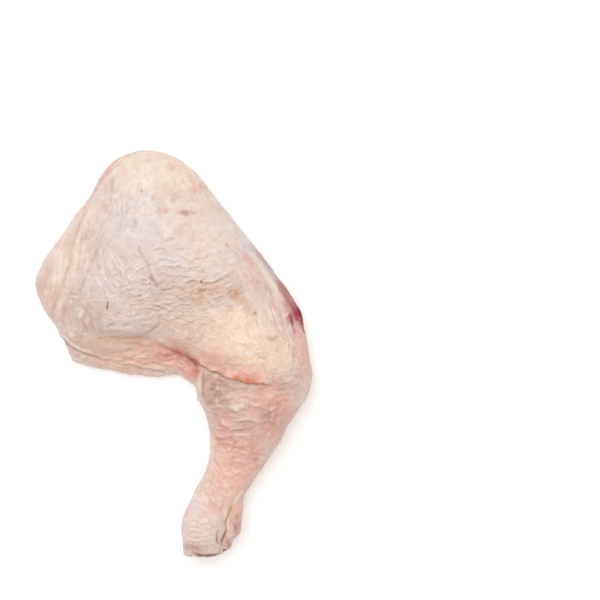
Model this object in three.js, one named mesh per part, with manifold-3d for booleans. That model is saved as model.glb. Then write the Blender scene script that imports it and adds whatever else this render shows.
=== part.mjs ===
// A raw chicken leg quarter, thigh and drumstick in one piece, lying skin side up.
// Millimetres, +Z up. The origin is the middle of the footprint, on the surface that it lies on.
// Seen from above, +Y runs from the hock to the hip and +X is to the right.
import * as THREE from "three";
import { mergeVertices } from "three/addons/utils/BufferGeometryUtils.js";
import Module from "manifold-3d";

// Driving sizes of the whole leg.
const THIGH_CROWN = 33;
const THIGH_LIP = 9;
const KNEE = { at: [52, -20], reach: 48, lip: 26 };
const BELLY_HOLLOW = { at: [2, 52], reach: 52, rise: 6 };
const SKIRT_HEM = { y: -15, height: 10 };
const SKIRT_ROOT = { y: 12, height: 21 };
const SKIRT_LIP = 5;
const SKIRT_UNDERSIDE = 0.6;
const SKIN_COLOUR = 0xe3c9bb;

// How squarely a face turns down to its edge: 2 is round and more is squarer.
const THIGH_BEND = 1.9;
const KNEE_BEND = 3.5;
const KNEE_BEND_FROM_X = 60;
const SKIRT_BEND = 3;
const UNDERSIDE_BEND = 5;

// Mesh fineness: spokes run round a body and rings from its top to its bottom.
const THIGH_MESH = { spokes: 112, rings: 34 };
const SKIRT_MESH = { spokes: 64, rings: 16 };
const SHANK_MESH = { spokes: 44, rings: 46 };

// The thigh's edge seen from above, counterclockwise from the knee: right side, hip, left lobe, then
// the hem that lies on the skirt and across the top of the drumstick.
const THIGH_CENTRE = [2, 48];
const THIGH_EDGE = [
  [83, -17.5], [81, 0], [77.6, 16], [71.6, 32], [59.6, 50], [40.2, 73.5],
  [26.4, 91], [13.4, 107.5], [-1, 118], [-15.2, 122], [-26.6, 120.2], [-38.2, 113.8],
  [-46.4, 103.6], [-51.4, 93.6], [-58.8, 83.2], [-69.6, 68], [-79.2, 54], [-84, 40.8],
  [-80.2, 28.6], [-71.8, 15.2], [-66.4, 6.4], [-53.6, 0], [-37, -2.4], [-19, 0], [-2, -0.6],
  [13, -5.4], [25.6, -11.6], [38, -16.2], [50, -18.8], [62, -21], [74, -22.4],
];

// The skirt is the loose inner skin and meat that shows below the thigh's hem, left of the drumstick.
const SKIRT_CENTRE = [3, 6];
const SKIRT_EDGE = [
  [24, -29], [36, -18], [32, 4], [8, 24], [-22, 32], [-52, 30], [-71.2, 15.6],
  [-67.2, 7], [-64.8, 0], [-62, -5.4], [-56.6, -8], [-49, -10.2], [-38, -11.8], [-25.6, -14.2],
  [-9.4, -15.6], [1, -14.6], [7, -16.8], [12, -21.6],
];

// Cross-sections of the drumstick, all parallel to X, from the cut hock to the end hidden in the thigh.
const SHANK_STATIONS = [
  { at: [18.8, -122.2, 11], wide: 14.2, high: 10.2 },
  { at: [19.9, -116, 11.8], wide: 14.8, high: 11.6 },
  { at: [22, -109, 12.4], wide: 17.4, high: 12.4 },
  { at: [22.9, -101, 12.4], wide: 17.7, high: 12.4 },
  { at: [25.1, -92, 12], wide: 16.8, high: 11.6 },
  { at: [28.7, -83, 12], wide: 15.9, high: 11.2 },
  { at: [34.3, -74, 12.8], wide: 16.3, high: 12 },
  { at: [39.3, -64, 14], wide: 17.9, high: 13.4 },
  { at: [43.1, -54, 15], wide: 20.9, high: 14.8 },
  { at: [45, -44, 15.6], wide: 24.1, high: 15.6 },
  { at: [46.5, -35, 15.6], wide: 28, high: 15.6 },
  { at: [47.1, -27, 15], wide: 32.8, high: 15 },
  { at: [48, -17, 14.6], wide: 35, high: 14.6 },
  { at: [48, -5, 14], wide: 31, high: 13 },
  { at: [44, 8, 14], wide: 23, high: 11 },
];
const CUT_BLUNTNESS = 13;
const SIDE_RELIEF = 0.5;

// Rounded masses that raise or lower the upper side. reach is the distance at which one fades out.
const MASSES = [
  { at: [24, 38], reach: 54, rise: 4 },
  { at: [52, -4], reach: 38, rise: 5 },
  { at: [-20, 118], reach: 56, rise: -4 },
  { at: [-82, 42], reach: 54, rise: -8 },
  { at: [21, -101], reach: 20, rise: 0.6 },
];

// Grooves in the upper side, each pressed in along a path. width is the distance at which one fades out.
const GROOVES = [
  { path: [[-46, 100], [-57, 74], [-62, 50], [-64, 32], [-66, 20]], depth: 2.2, width: 8 },
  { path: [[-47, 10], [-34, 6.5], [-18, 8], [-6, 6.5], [6, 0]], depth: 1.6, width: 8 },
  { path: [[44, -83], [37, -93], [31, -103], [29, -115], [28, -122]], depth: 2.6, width: 5 },
  { path: [[20, -46], [34, -49], [50, -46]], depth: 1, width: 5 },
  { path: [[21, -56], [35, -60], [52, -55]], depth: 1, width: 5 },
  { path: [[22, -66], [34, -69], [48, -64]], depth: 0.8, width: 5 },
  { path: [[2, -106], [12, -110], [24, -111]], depth: 0.7, width: 4 },
];

const fade = (share) => (share >= 1 ? 0 : (1 - share * share) ** 2);
const nearness = ({ at, reach }, x, y) => fade(Math.hypot(x - at[0], y - at[1]) / reach);

function distanceToPath(path, x, y) {
  let nearest = Infinity;
  for (let i = 1; i < path.length; i++) {
    const [ax, ay] = path[i - 1];
    const [bx, by] = path[i];
    const lengthSquared = (bx - ax) ** 2 + (by - ay) ** 2;
    const along = ((x - ax) * (bx - ax) + (y - ay) * (by - ay)) / lengthSquared;
    const share = THREE.MathUtils.clamp(along, 0, 1);
    nearest = Math.min(nearest, Math.hypot(x - ax - share * (bx - ax), y - ay - share * (by - ay)));
  }
  return nearest;
}

// Height of the masses less the depth of the grooves at one place on the upper side.
function reliefAt(x, y) {
  const raised = MASSES.reduce((sum, mass) => sum + mass.rise * nearness(mass, x, y), 0);
  const pressed = GROOVES.reduce(
    (sum, { path, depth, width }) => sum + depth * fade(distanceToPath(path, x, y) / width), 0);
  return raised - pressed;
}

// A closed body made from a sphere. place gets the turn round it from 0 to 1, the distance from the
// axis and the height, both of a sphere of radius 1, and gives the point.
function bodyFromSphere({ spokes, rings }, place) {
  const geometry = new THREE.SphereGeometry(1, spokes, rings);
  const position = geometry.getAttribute("position");
  const uv = geometry.getAttribute("uv");
  for (let i = 0; i < position.count; i++) {
    const turn = (uv.getX(i) + 1) % 1;
    const polar = (1 - uv.getY(i)) * Math.PI;
    const point = place(turn, Math.sin(polar), Math.cos(polar));
    position.setXYZ(i, point.x, point.y, point.z);
  }
  geometry.deleteAttribute("normal");
  geometry.deleteAttribute("uv");
  return mergeVertices(geometry, 1e-3);
}

const closedCurve = (points) =>
  new THREE.CatmullRomCurve3(points.map(([x, y]) => new THREE.Vector3(x, y, 0)), true);

// A slab of meat inside an edge: lip is the height of its edge, top and bottom those of its faces, and
// topBend how squarely the upper side turns down to the lip.
function slab(mesh, centre, edge, { lip, top, bottom, topBend }) {
  const curve = closedCurve(edge);
  return bodyFromSphere(mesh, (turn, across, up) => {
    const rim = curve.getPointAt(turn);
    const x = THREE.MathUtils.lerp(centre[0], rim.x, across);
    const y = THREE.MathUtils.lerp(centre[1], rim.y, across);
    const lipHeight = lip(rim.x, rim.y);
    const face = up > 0 ? top(x, y) : bottom(x, y);
    const bend = up > 0 ? topBend(rim.x) : UNDERSIDE_BEND;
    const height = Math.sqrt(1 - across ** bend);
    return new THREE.Vector3(x, y, lipHeight + (face - lipHeight) * height);
  });
}

// The thigh's lip rises where its hem crosses the drumstick.
const thighLip = (x, y) => THREE.MathUtils.lerp(THIGH_LIP, KNEE.lip, nearness(KNEE, x, y));

const makeThigh = () =>
  slab(THIGH_MESH, THIGH_CENTRE, THIGH_EDGE, {
    lip: thighLip,
    top: (x, y) => THIGH_CROWN + reliefAt(x, y),
    bottom: (x, y) => BELLY_HOLLOW.rise * nearness(BELLY_HOLLOW, x, y),
    topBend: (x) =>
      THREE.MathUtils.lerp(THIGH_BEND, KNEE_BEND, THREE.MathUtils.smoothstep(x, 0, KNEE_BEND_FROM_X)),
  });

const makeSkirt = () =>
  slab(SKIRT_MESH, SKIRT_CENTRE, SKIRT_EDGE, {
    lip: () => SKIRT_LIP,
    top: (x, y) =>
      THREE.MathUtils.mapLinear(y, SKIRT_HEM.y, SKIRT_ROOT.y, SKIRT_HEM.height, SKIRT_ROOT.height),
    bottom: () => SKIRT_UNDERSIDE,
    topBend: () => SKIRT_BEND,
  });

// The drumstick: elliptical sections along a curved spine, with both ends closed bluntly, and flat
// where it lies on the surface.
function makeShank() {
  const evenCurve = (points) => new THREE.CatmullRomCurve3(points, false, "catmullrom");
  const spine = evenCurve(SHANK_STATIONS.map(({ at }) => new THREE.Vector3(...at)));
  const sizes = evenCurve(SHANK_STATIONS.map(({ wide, high }) => new THREE.Vector3(wide, high, 0)));
  return bodyFromSphere(SHANK_MESH, (turn, across, up) => {
    const along = (1 + up) / 2;
    const point = spine.getPoint(along);
    const size = sizes.getPoint(along);
    const closing = Math.max(0, 1 - Math.abs(up) ** CUT_BLUNTNESS) ** (1 / CUT_BLUNTNESS);
    const angle = turn * 2 * Math.PI;
    point.x -= Math.sin(angle) * size.x * closing;
    point.z -= Math.cos(angle) * size.y * closing;
    const facingUp = Math.max(0, -Math.cos(angle)) ** SIDE_RELIEF;
    point.z = Math.max(0, point.z + reliefAt(point.x, point.y) * facingUp * closing);
    return point;
  });
}

function solidFrom(wasm, geometry) {
  const mesh = new wasm.Mesh({
    numProp: 3,
    vertProperties: geometry.getAttribute("position").array,
    triVerts: new Uint32Array(geometry.index.array),
  });
  return new wasm.Manifold(mesh);
}

function geometryFrom(solid) {
  const { vertProperties, triVerts } = solid.getMesh();
  const geometry = new THREE.BufferGeometry();
  geometry.setAttribute("position", new THREE.BufferAttribute(vertProperties, 3));
  geometry.setIndex(new THREE.BufferAttribute(triVerts, 1));
  geometry.computeVertexNormals();
  return geometry;
}

const wasm = await Module();
wasm.setup();
const [thigh, skirt, shank] = [makeThigh(), makeSkirt(), makeShank()].map((g) => solidFrom(wasm, g));
const leg = new THREE.Mesh(
  geometryFrom(thigh.add(skirt).add(shank)),
  new THREE.MeshStandardMaterial({ color: SKIN_COLOUR, roughness: 0.42, metalness: 0 }),
);
leg.name = "chicken_leg";

const group = new THREE.Group();
group.add(leg);
export default group;
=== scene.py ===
"""A raw chicken leg quarter, thigh and drumstick in one piece, lying skin side up.

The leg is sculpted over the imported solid: laps where one layer of skin lies on the next, folds and
creases where it has gathered, and the meat that shows where it has been cut.

Tables are in millimetres and the mesh is in metres. Seen from above, +Y runs from the hock to the hip
and +X is to the right. Places are where the camera sees them on a level plane through the middle of
the leg's sides. A path is written as x and y in turn. A spot is an ellipse, written as the x and y of
its middle, half its length, half its width and its turn in degrees, and then what it does there.
"""

import math
import random

import bmesh
import bpy
import numpy as np
from bpy.props import FloatProperty, FloatVectorProperty, PointerProperty
from mathutils import Matrix, Vector, noise
from mathutils.bvhtree import BVHTree


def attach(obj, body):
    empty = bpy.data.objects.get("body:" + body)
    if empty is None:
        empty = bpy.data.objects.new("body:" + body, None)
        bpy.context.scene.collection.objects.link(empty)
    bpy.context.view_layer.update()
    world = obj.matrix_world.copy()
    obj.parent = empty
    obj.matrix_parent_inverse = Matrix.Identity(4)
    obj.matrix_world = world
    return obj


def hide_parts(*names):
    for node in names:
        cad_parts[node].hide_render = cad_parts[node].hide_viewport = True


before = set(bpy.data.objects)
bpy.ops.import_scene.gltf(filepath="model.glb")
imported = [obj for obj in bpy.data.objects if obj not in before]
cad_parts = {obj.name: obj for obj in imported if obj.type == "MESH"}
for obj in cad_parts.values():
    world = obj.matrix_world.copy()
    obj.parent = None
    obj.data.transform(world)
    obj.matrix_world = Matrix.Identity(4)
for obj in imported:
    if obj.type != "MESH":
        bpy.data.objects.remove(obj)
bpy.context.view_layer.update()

bl_info = {
    "name": "Raw Chicken Leg Quarter",
    "version": (1, 0, 0),
    "blender": (4, 5, 0),
    "location": "View3D > Sidebar > Leg",
    "description": "Makes a raw chicken leg quarter over its packed solid, with its folds and wet skin",
    "category": "Object",
}

MM = 0.001
LEG_NODE = "chicken_leg"

# How far from a path its effect is worked out.
FAR = 20

# How places stray, first sideways and then lengthways: size, distance and seed of each wander.
STRAYS = ((7, 0.9, 107), (2.6, 0.4, 109), (7, 0.9, 113), (2.6, 0.4, 127))

# What one step of a seed moves the noise by.
SEED_STEP = 17.3

# The camera, and the height of the level plane on which the places in the tables are.
EYE = (75.8, 31.1, 915)
LEVEL = 15
LENS = 90
SENSOR = 36
NEAREST = 0.05

# The stage, with the softness of the key light in degrees and half the floor's width in metres.
KEY_DIRECTION = (0.16, -0.32, -1)
KEY_SOFTNESS = 60
ROOM_COLOUR = (1, 0.995, 0.985, 1)
FLOOR_REACH = 3

# How finely the leg is cut into faces. The underside is thinned before it is sculpted, because it has
# only soft relief, and the whole leg afterwards, which takes faces from where it is smooth.
VOXEL = 0.5
SMOOTHING_PASSES = 9
UNDERSIDE_SLOPE = -0.35
UNDERSIDE_LUMPS = dict(size=5, height=0.9, seed=79)
UNDERSIDE_KEPT = 0.09
MOST_TRIANGLES = 197000


def spot(*ellipse_and_amount, **more):
    """A spot that is broken into streaks of some grain, or that stays above some height."""
    return dict(spot=ellipse_and_amount, **more)


def streak(path, width, amount, **more):
    return dict(path=path, width=width, amount=amount, **more)


# Rolls of skin that are laid on the solid before it is remeshed, so that they join it with a soft root.
ROLLS = {
    "knee hem": dict(
        radius=1.3, sunk=0.9, path=[21, -8.8, 33.8, -13.8, 44, -17, 53, -18.6]),
    "drumstick strip": dict(
        radius=1, sunk=1.1, path=[15.2, -7.4, 15.3, -13.5, 15.1, -22, 15, -28.4]),
}
BALLS_FROM_POINT_TO_POINT = 10

# Laps: a layer of skin that ends on top of the next one. The layer is on the left of the path as it runs.
LAPS = {
    "knee hem": dict(
        lift=0.6, drop=1.5, reach=5, overhang=1.1,
        path=[-12, 5.6, -6.4, 4.1, -1, 1.4, 3.8, -0.7, 8.7, -2.6, 12.5, -5, 17.1, -7.5, 21.4, -10.1, 27.7,
            -12.4, 34.4, -14.8, 41.5, -17.4]),
    "end of the knee hem": dict(
        lift=0.5, drop=0.7, reach=4.5, overhang=0.5,
        path=[27.7, -12, 35.2, -15.2, 41.5, -17.4, 48, -18.4, 54.4, -19.3, 62, -20.8]),
    "skin edge": dict(
        lift=0.35, drop=0.9, reach=4, overhang=0.8,
        path=[-68, 10.4, -65.2, 7.7, -59.9, 3.6, -52.4, -0.2, -47, -1.7, -41.6, -3.5, -36, -4.2]),
    "edge of the hip skin": dict(
        lift=0.4, drop=1.1, reach=3.6, overhang=0.4,
        path=[-21, 120, -25.6, 118.1, -31.9, 112.7, -37.6, 108.2, -41.8, 104.3, -45.1, 99.5, -48, 95, -50,
            90]),
}

# Folds: depth, width and path of a soft ridge with a crease at its foot. The ridge is on the left of
# the path as it runs.
FOLDS = [
    # The wrinkled field in the middle of the thigh
    (0.49, 3, [-6, 65.8, -4.6, 66.5, -1, 67.5, 3.4, 65.7]),
    (0.56, 3.2, [-15.5, 62.6, -11.2, 61.4, -7.6, 62.6, -4, 60.8, 1, 59.5]),
    (0.49, 2.8, [10.1, 55.6, 15.1, 55.9, 20, 56.8, 24, 58.4]),
    (0.63, 3.2, [-6, 50.8, -4, 50.3, 1.6, 51.5, 7.1, 50.3, 12.6, 50.7]),
    (0.7, 3.2, [18, 40.6, 20.6, 41.8, 26.6, 43, 32.2, 46.1, 38.3, 47.3]),
    (0.42, 2.6, [19, 45.6, 21.8, 46.4, 27.8, 46.1, 34, 47.6, 39, 50]),
    (0.63, 3, [24, 31.6, 26.6, 32.3, 31, 33.8]), (0.49, 3, [12, 36.8, 16, 37.6, 21, 38.8, 26, 40]),
    # The drumstick
    (0.71, 4.6, [30, -33.4, 34, -34.6, 38, -35.7, 42.4, -34.6, 46.6, -34.4]),
    (0.51, 3.6, [31, -38.6, 36, -39.4, 40, -37.8, 45, -37.2]),
    (0.58, 3.8, [36, -42.4, 40.2, -41.9, 44.5, -41.3, 49.3, -42.7, 54.1, -43.7]),
    (0.64, 4, [26, -40, 27.4, -41.6, 29, -44.3, 33.8, -45.7, 36.4, -44.8]),
    (0.64, 4, [31, -48.4, 33.8, -48.6, 38, -47.2, 42.4, -46.4, 46.6, -47]),
    (0.64, 4, [23.6, -49.6, 25.2, -50.7, 29.5, -52.3, 33.8, -51.8, 40.2, -50.5]),
    (0.45, 3.2, [26, -54.4, 29, -55, 33.8, -55.3, 37, -53.9]),
    (0.6, 3.4, [20.4, -33.2, 25.2, -34.8, 29, -33.2]),
    # Below the hem of the knee
    (0.38, 2.6, [27.8, -19.6, 32.6, -20.9, 38, -22.1, 44.6, -21.4, 51.8, -22]),
    (0.38, 2.6, [51.8, -23.4, 62.6, -26.1, 68, -25.4, 76, -25]),
    (0.3, 2.6, [54, -28.6, 60, -30.4, 68, -29.4]),
    # The skirt
    (0.54, 3.4, [-18, -5.4, -10, -6.6, -2, -8.4, 4, -10.6]),
    (0.48, 3.2, [-31, -7.4, -22, -9, -12, -10.6, -3, -12]), (0.48, 3, [-4, -1.8, 2, -5, 7, -9, 10.6, -14]),
    (0.36, 3, [-34, -2, -26, -3.2, -16, -3]),
    # The hock and the shin
    (0.56, 2.8, [17.6, -81.1, 20.3, -85.3, 22.4, -88.9, 24.2, -91.9]),
    (0.48, 3, [24.2, -91.9, 20, -92.6, 14, -91, 10, -91.4]), (0.4, 2.6, [26, -96, 29, -93, 31, -88]),
    (0.5, 3, [27.7, -69.8, 25.6, -66.6, 23.5, -63.1]), (0.5, 3, [27.2, -76.3, 25.7, -71.5, 23, -66.7]),
]

# Creases pressed into the skin: depth, width, path and how much of it fades in and out. A negative
# depth raises a ridge.
CREASES = [
    # The left lobe
    (1.5, 5.4, [-45, 101, -52.6, 86.3, -60, 67.1, -64.4, 48, -66.4, 40, -71, 30, -73, 22]),
    (-0.8, 2.6, [-51, 84.5, -57.4, 71, -61.9, 61.1, -64.6, 53, -65.2, 46, -68.3, 34, -70.3, 23.3]),
    (0.7, 2.6, [-53, 80, -56, 66, -57.6, 52, -58.4, 42]), (0.6, 2.6, [-68, 60, -69.4, 50, -69.8, 42]),
    # The long crease beside the lobe
    (0.9, 2.2, [-21.6, 64.6, -20.5, 60.7, -18.4, 56.5, -16.2, 51.7, -13.6, 46.9, -11.9, 43.1, -10.9, 40.5,
        -10, 37.4], 0.12), (0.9, 1.3, [-14, 47.6, -11.9, 43.1, -10.9, 40.5, -10, 37.2], 0.2),
    (0.6, 2, [-9.8, 37.4, -7, 36.4, -3, 37.2, 1.4, 37.6]),
    # The fan in the middle and its slit
    (0.9, 2.4, [-34.8, 61.1, -31, 56, -27.4, 50.1, -23.8, 44]),
    (0.7, 2.2, [-31.1, 59.5, -28, 55, -25, 50.8]), (0.7, 2.2, [-37.6, 57.5, -35, 50.1, -30.6, 43.7]),
    (0.6, 2, [-46.4, 57.1, -45.6, 52, -43.6, 47.1]),
    (1.1, 1.5, [-39.6, 30.4, -40.4, 27.7, -40.2, 25], 0.15),
    # The oval bulge
    (0.7, 2.6, [-10.9, 26, -8.5, 19.7, -10.3, 14.6, -15.4, 11.3, -22, 9.8]),
    (0.6, 3, [-43, 27, -45.4, 20, -44.4, 13.4, -39.6, 9.6]),
    (0.7, 1.8, [-39, 15.4, -36.4, 16.2, -33.8, 16]), (0.6, 1.6, [-31, 16.4, -28.4, 17, -25.4, 17.6]),
    (0.5, 1.6, [-34.8, 23.6, -32.4, 24.4, -29.9, 24]),
    # The grooves under the bulge and the folds left of it
    (0.9, 5, [-54, 7.4, -43.6, 8, -33.4, 8.2, -22, 8.6, -14, 7.8, -8, 5.2]),
    (0.5, 3, [-38, 5.2, -26, 4.6, -14, 3.4]), (0.9, 3.2, [-54.4, 25.1, -53.8, 16.1, -51.4, 8.3]),
    (0.9, 3, [-50.8, 26.3, -49.6, 17.9, -47.2, 9.5]), (0.4, 3, [-58.6, 29, -59, 20, -57.6, 12]),
    # The tan dimple, the seam of the knee and the short fold beside it
    (0.5, 3, [33, 35.6, 36, 32.6, 38.6, 33.4, 40.6, 30]),
    (0.45, 2.4, [62, 20.4, 66.2, 12, 69.8, 3, 71.6, -3.6, 70.6, -11, 68, -16.6]),
    (0.4, 2, [58, 18, 62.4, 9, 66, 0, 67.4, -8]),
    (0.8, 2, [55, 9, 57, 7.4, 58.6, 6.3, 61.4, 7.8, 64.6, 9.4], 0.2),
    # Above the hem, at the hip, at the edge of the middle and at the end of the field
    (1.1, 3, [5, 0.4, 9.8, -2.8, 14, -5.8, 17, -8.4]), (0.3, 1.3, [3.4, 83, 8.4, 82.4, 15.4, 83.2]),
    (0.4, 2, [-43, 68, -42, 58, -41.4, 48, -42.6, 40]), (0.4, 2.4, [-48, 60, -48.4, 50, -49.6, 40]),
    (0.4, 3.4, [36, 58, 38.6, 52, 39.4, 44, 41.6, 36, 43, 28]),
    # The lower groove, the lines of the skirt and its notch
    (0.9, 1.8, [4.5, -0.9, -1, -2.4, -5, -2.7, -8.9, -2.4]),
    (0.9, 1.8, [-13.8, -4, -7.9, -5.6, -3.6, -5.6, 3.9, -4.6]),
    (0.6, 1.6, [-20.2, -7.2, -17, -7.5, -13.8, -7.2]),
    (0.9, 1.6, [-12.7, -12.1, -8.6, -12.7, -4.7, -13.1], 0.1),
    (0.9, 1.6, [1, -12, 1.4, -13.6, 1, -15], 0.1),
    # The wall of the groove and the right of the strip
    (0.9, 1.6, [8.7, -3, 12.5, -5.6, 14.4, -8.2, 14.8, -12, 14.6, -16]),
    (0.7, 1.2, [16.8, -8, 17, -15, 16.9, -22, 16.9, -27.6]),
    # The dimples and the shadow of the knee, and the tucks of the frayed corner
    (0.7, 1.6, [61.6, 1.4, 63, 0, 64.2, -0.9], 0.1), (0.6, 2.6, [50.4, -3.1, 54, -4.2, 57, -4]),
    (0.8, 1.2, [27.7, -116.4, 29.6, -118.4, 31.4, -120.6], 0.1),
    (0.8, 1.2, [28.2, -116, 31, -116.8, 34, -117.2], 0.1),
    (0.7, 1.1, [27.4, -117, 27.6, -119, 27.2, -121], 0.1),
    # The hook and the line left of the bulge
    (0.5, 1.6, [-53.6, 25.3, -51, 26.2, -49.3, 25.7, -48.2, 23.8], 0.1),
    (0.4, 1.5, [-54.3, 24.2, -54.6, 19.6, -54.2, 16]),
    # The right of the drumstick
    (-0.5, 2.2, [61.6, -24.4, 60.2, -29.3, 61.8, -33.5]),
    # The slits and the tendon of the hock
    (0.6, 1.8, [34.8, -91, 33.8, -94, 33.2, -96.5, 31.7, -99.5, 31.1, -103.8, 30.8, -108]),
    (0.9, 1.2, [31, -106.6, 30.8, -108.7, 29.9, -111.2, 29, -114.2, 28.2, -117], 0.2),
    (0.8, 1.1, [26, -108.4, 26.2, -110, 26.5, -113, 27.6, -116]),
    (-0.8, 1, [41.4, -82.6, 40.9, -83.6, 38.7, -86.4, 36.9, -89.1, 35.1, -91.6]),
    (0.4, 2, [42.6, -85, 40, -90, 38.4, -95]),
]

# Low swellings and dips of the upper side: a spot and how far it rises.
SWELLINGS = {
    "oval bulge": (-26, 19, 22, 13, -3, 2.2),
    "dip above the bulge": (-24, 38, 26, 9, -4, -0.6),
    "pull towards the drumstick": (-3, 3, 18, 8, -22, -1.4),
    "left lobe": (-74, 42, 10, 28, 10, 1.2),
    "pinch at the field's end": (38, 34, 10, 9, 20, -1.2),
    "fat at the knee": (44, 6, 28, 16, -10, 1.2),
    "fat beside the hem": (30, -3, 14, 8, -24, 1),
    "end of the knee": (68, -8, 14, 13, 0, 0.8),
    "hock lobe": (37, -103, 6, 14, 6, 1.2),
    "hock pad": (16, -106, 13, 15, -6, 1),
    "calf": (45, -33, 20, 18, 0, 0.7),
    "wart left of the bulge": (-57, 21.9, 3, 5, 8, 0.05),
    "wart of the drumstick": (26.9, -22.1, 2, 1.6, 20, 0.7),
    "ledge between the slits": (28.6, -107, 2.2, 7, 4, 0.6),
}

# Spots where the outline lies further out than the solid, or further in, and how far.
SPREADS = [
    (75.6, 24, 12, 8, -64, 1.6), (60.6, 48.6, 14, 8, -55, -1), (37, -112, 6, 6, 0, -1.3),
    (44.6, -87, 5, 8, -20, -1.5), (31.6, -120.4, 4, 4, 0, -1.8), (8, -120.8, 4, 4, 0, 0.7),
]

# Thin ridges of membrane: height, width and paths.
RIDGES = [
    (0.6, 1.15, [
        [-32.4, 56.7, -30.1, 54.1, -27.8, 51.5, -26.7, 50.1], [-32.4, 51.8, -30.7, 48.6, -29, 46],
        [-27.2, 46, -25.5, 43.7, -24.4, 42.6],
        [-24.4, 52.9, -23.2, 51.2, -21.5, 49.8, -19.2, 51.2, -16.9, 51.5],
        [-36.7, 43.2, -34.7, 42, -33, 39.7, -33.3, 38, -33, 35.7], [-30.7, 39.7, -28.4, 40.9, -26.1, 41.5],
        [-30.1, 37.1, -27.2, 38.3, -24.9, 38.9],
        [-40.4, 38, -39.6, 35.1, -37.6, 32.8, -34.7, 33.7, -32.4, 35.4],
        [-21.5, 44, -19.2, 44.9, -16.9, 44.3, -14.9, 42.9, -15.8, 41.2, -18.6, 40.9],
        [-22.1, 31.1, -19.2, 32.6, -15.8, 33.7, -14.6, 35.1], [-44, 50, -42, 46, -40.6, 42],
        [46, -0.9, 49.6, -0.2, 53.8, 0], [-26.1, -4, -20.8, -2.9, -16.6, -2.9],
    ]),
    (0.3, 0.9, [
        [42.2, 20.3, 45.4, 14, 49, 7.7], [39.6, 21, 42.4, 15.6, 45, 10], [36.4, 20, 38.4, 15, 41, 9.4],
        [33.4, 19, 35, 14.4, 36.6, 10], [47.6, 19.4, 50, 14.6, 52, 10.6], [50, 21.6, 52.6, 17, 54, 12.6],
        [25.9, -82.7, 28.3, -84.2, 31.4, -86.1, 33.8, -85.5],
        [15.8, -89.1, 17.3, -92.2, 19.2, -94.6, 21, -96.2],
        [17.3, -83.6, 17.6, -86.7, 19.8, -89.8, 20.7, -92.8], [22.2, -82.4, 22.2, -86.1, 21, -89.1],
        [25.9, -99.5, 25.3, -102.3, 24.1, -104.4],
    ]),
    (0.42, 1, [
        [-67.4, 11, -65.2, 8.9, -60.2, 5, -56, 2.8, -52.4, 1.4, -47, -0.2],
        [-63.4, 33.4, -60, 33.2, -56, 32.6], [-34.4, 59.7, -30.1, 53.3, -26.9, 49, -23.7, 44.2],
        [-29, 57.5, -24.8, 52.2], [-38.6, 60, -35.6, 55, -33.6, 50.6], [-22.6, 38.6, -18.4, 38, -14, 38.6],
        [-24.6, 25.6, -20, 26.6, -15.4, 25.8], [-38, 21, -34, 20.4, -30.4, 20.8],
        [24, -31.6, 28.4, -32.6, 32, -31.8], [33, -41, 38, -40.4, 43, -39.4],
        [36, -50.4, 41, -49.4, 46, -49.8], [28, -58.4, 32, -58.8, 36, -57.8],
        [46, -30.6, 50, -31.4, 53, -30.8], [22, -44, 25, -45.4, 28.4, -46.4],
        [-23.5, 52.6, -21.5, 52.4, -19.8, 53.8], [-30.4, 34.3, -27.8, 35.1],
        [-47.4, 46, -45, 41, -44, 36.4], [-49, 30.4, -46, 31.4, -43.4, 30.8],
        [-28, 28.6, -24, 29.6, -20, 29.2], [-42.7, 102.8, -37.5, 109, -33.5, 112.8, -27.1, 118.9],
        [-37, 106, -33.6, 110], [-31.7, 90.6, -31.9, 86, -31.6, 82], [-25.4, 99.6, -25, 96, -25.4, 92],
        [-20.6, 103.2, -17, 103, -15.6, 101], [-16, 86.8, -15.6, 83], [-36.6, 88, -35.4, 85.6, -33.6, 83.4],
        [-38, 101.6, -38.8, 97, -38.4, 92.6], [69.8, 8.4, 70.8, 0.9, 70.1, -7.9, 68.2, -14.4],
        [66, 12, 67.6, 5, 68.4, -1], [62.6, 20, 64.6, 14, 66, 8], [58.4, 26.6, 61, 20.6, 63, 14.8],
        [54, 30, 57.4, 23, 59.6, 17], [-16, -8.8, -11.1, -9.9, -6.3, -10.4],
        [-31, -6, -27, -6.6, -23.4, -6.4], [-40, -6, -35.6, -7.6, -31, -8.4], [2, -7, 6.4, -9.4, 10, -13.4],
    ]),
]

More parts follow.
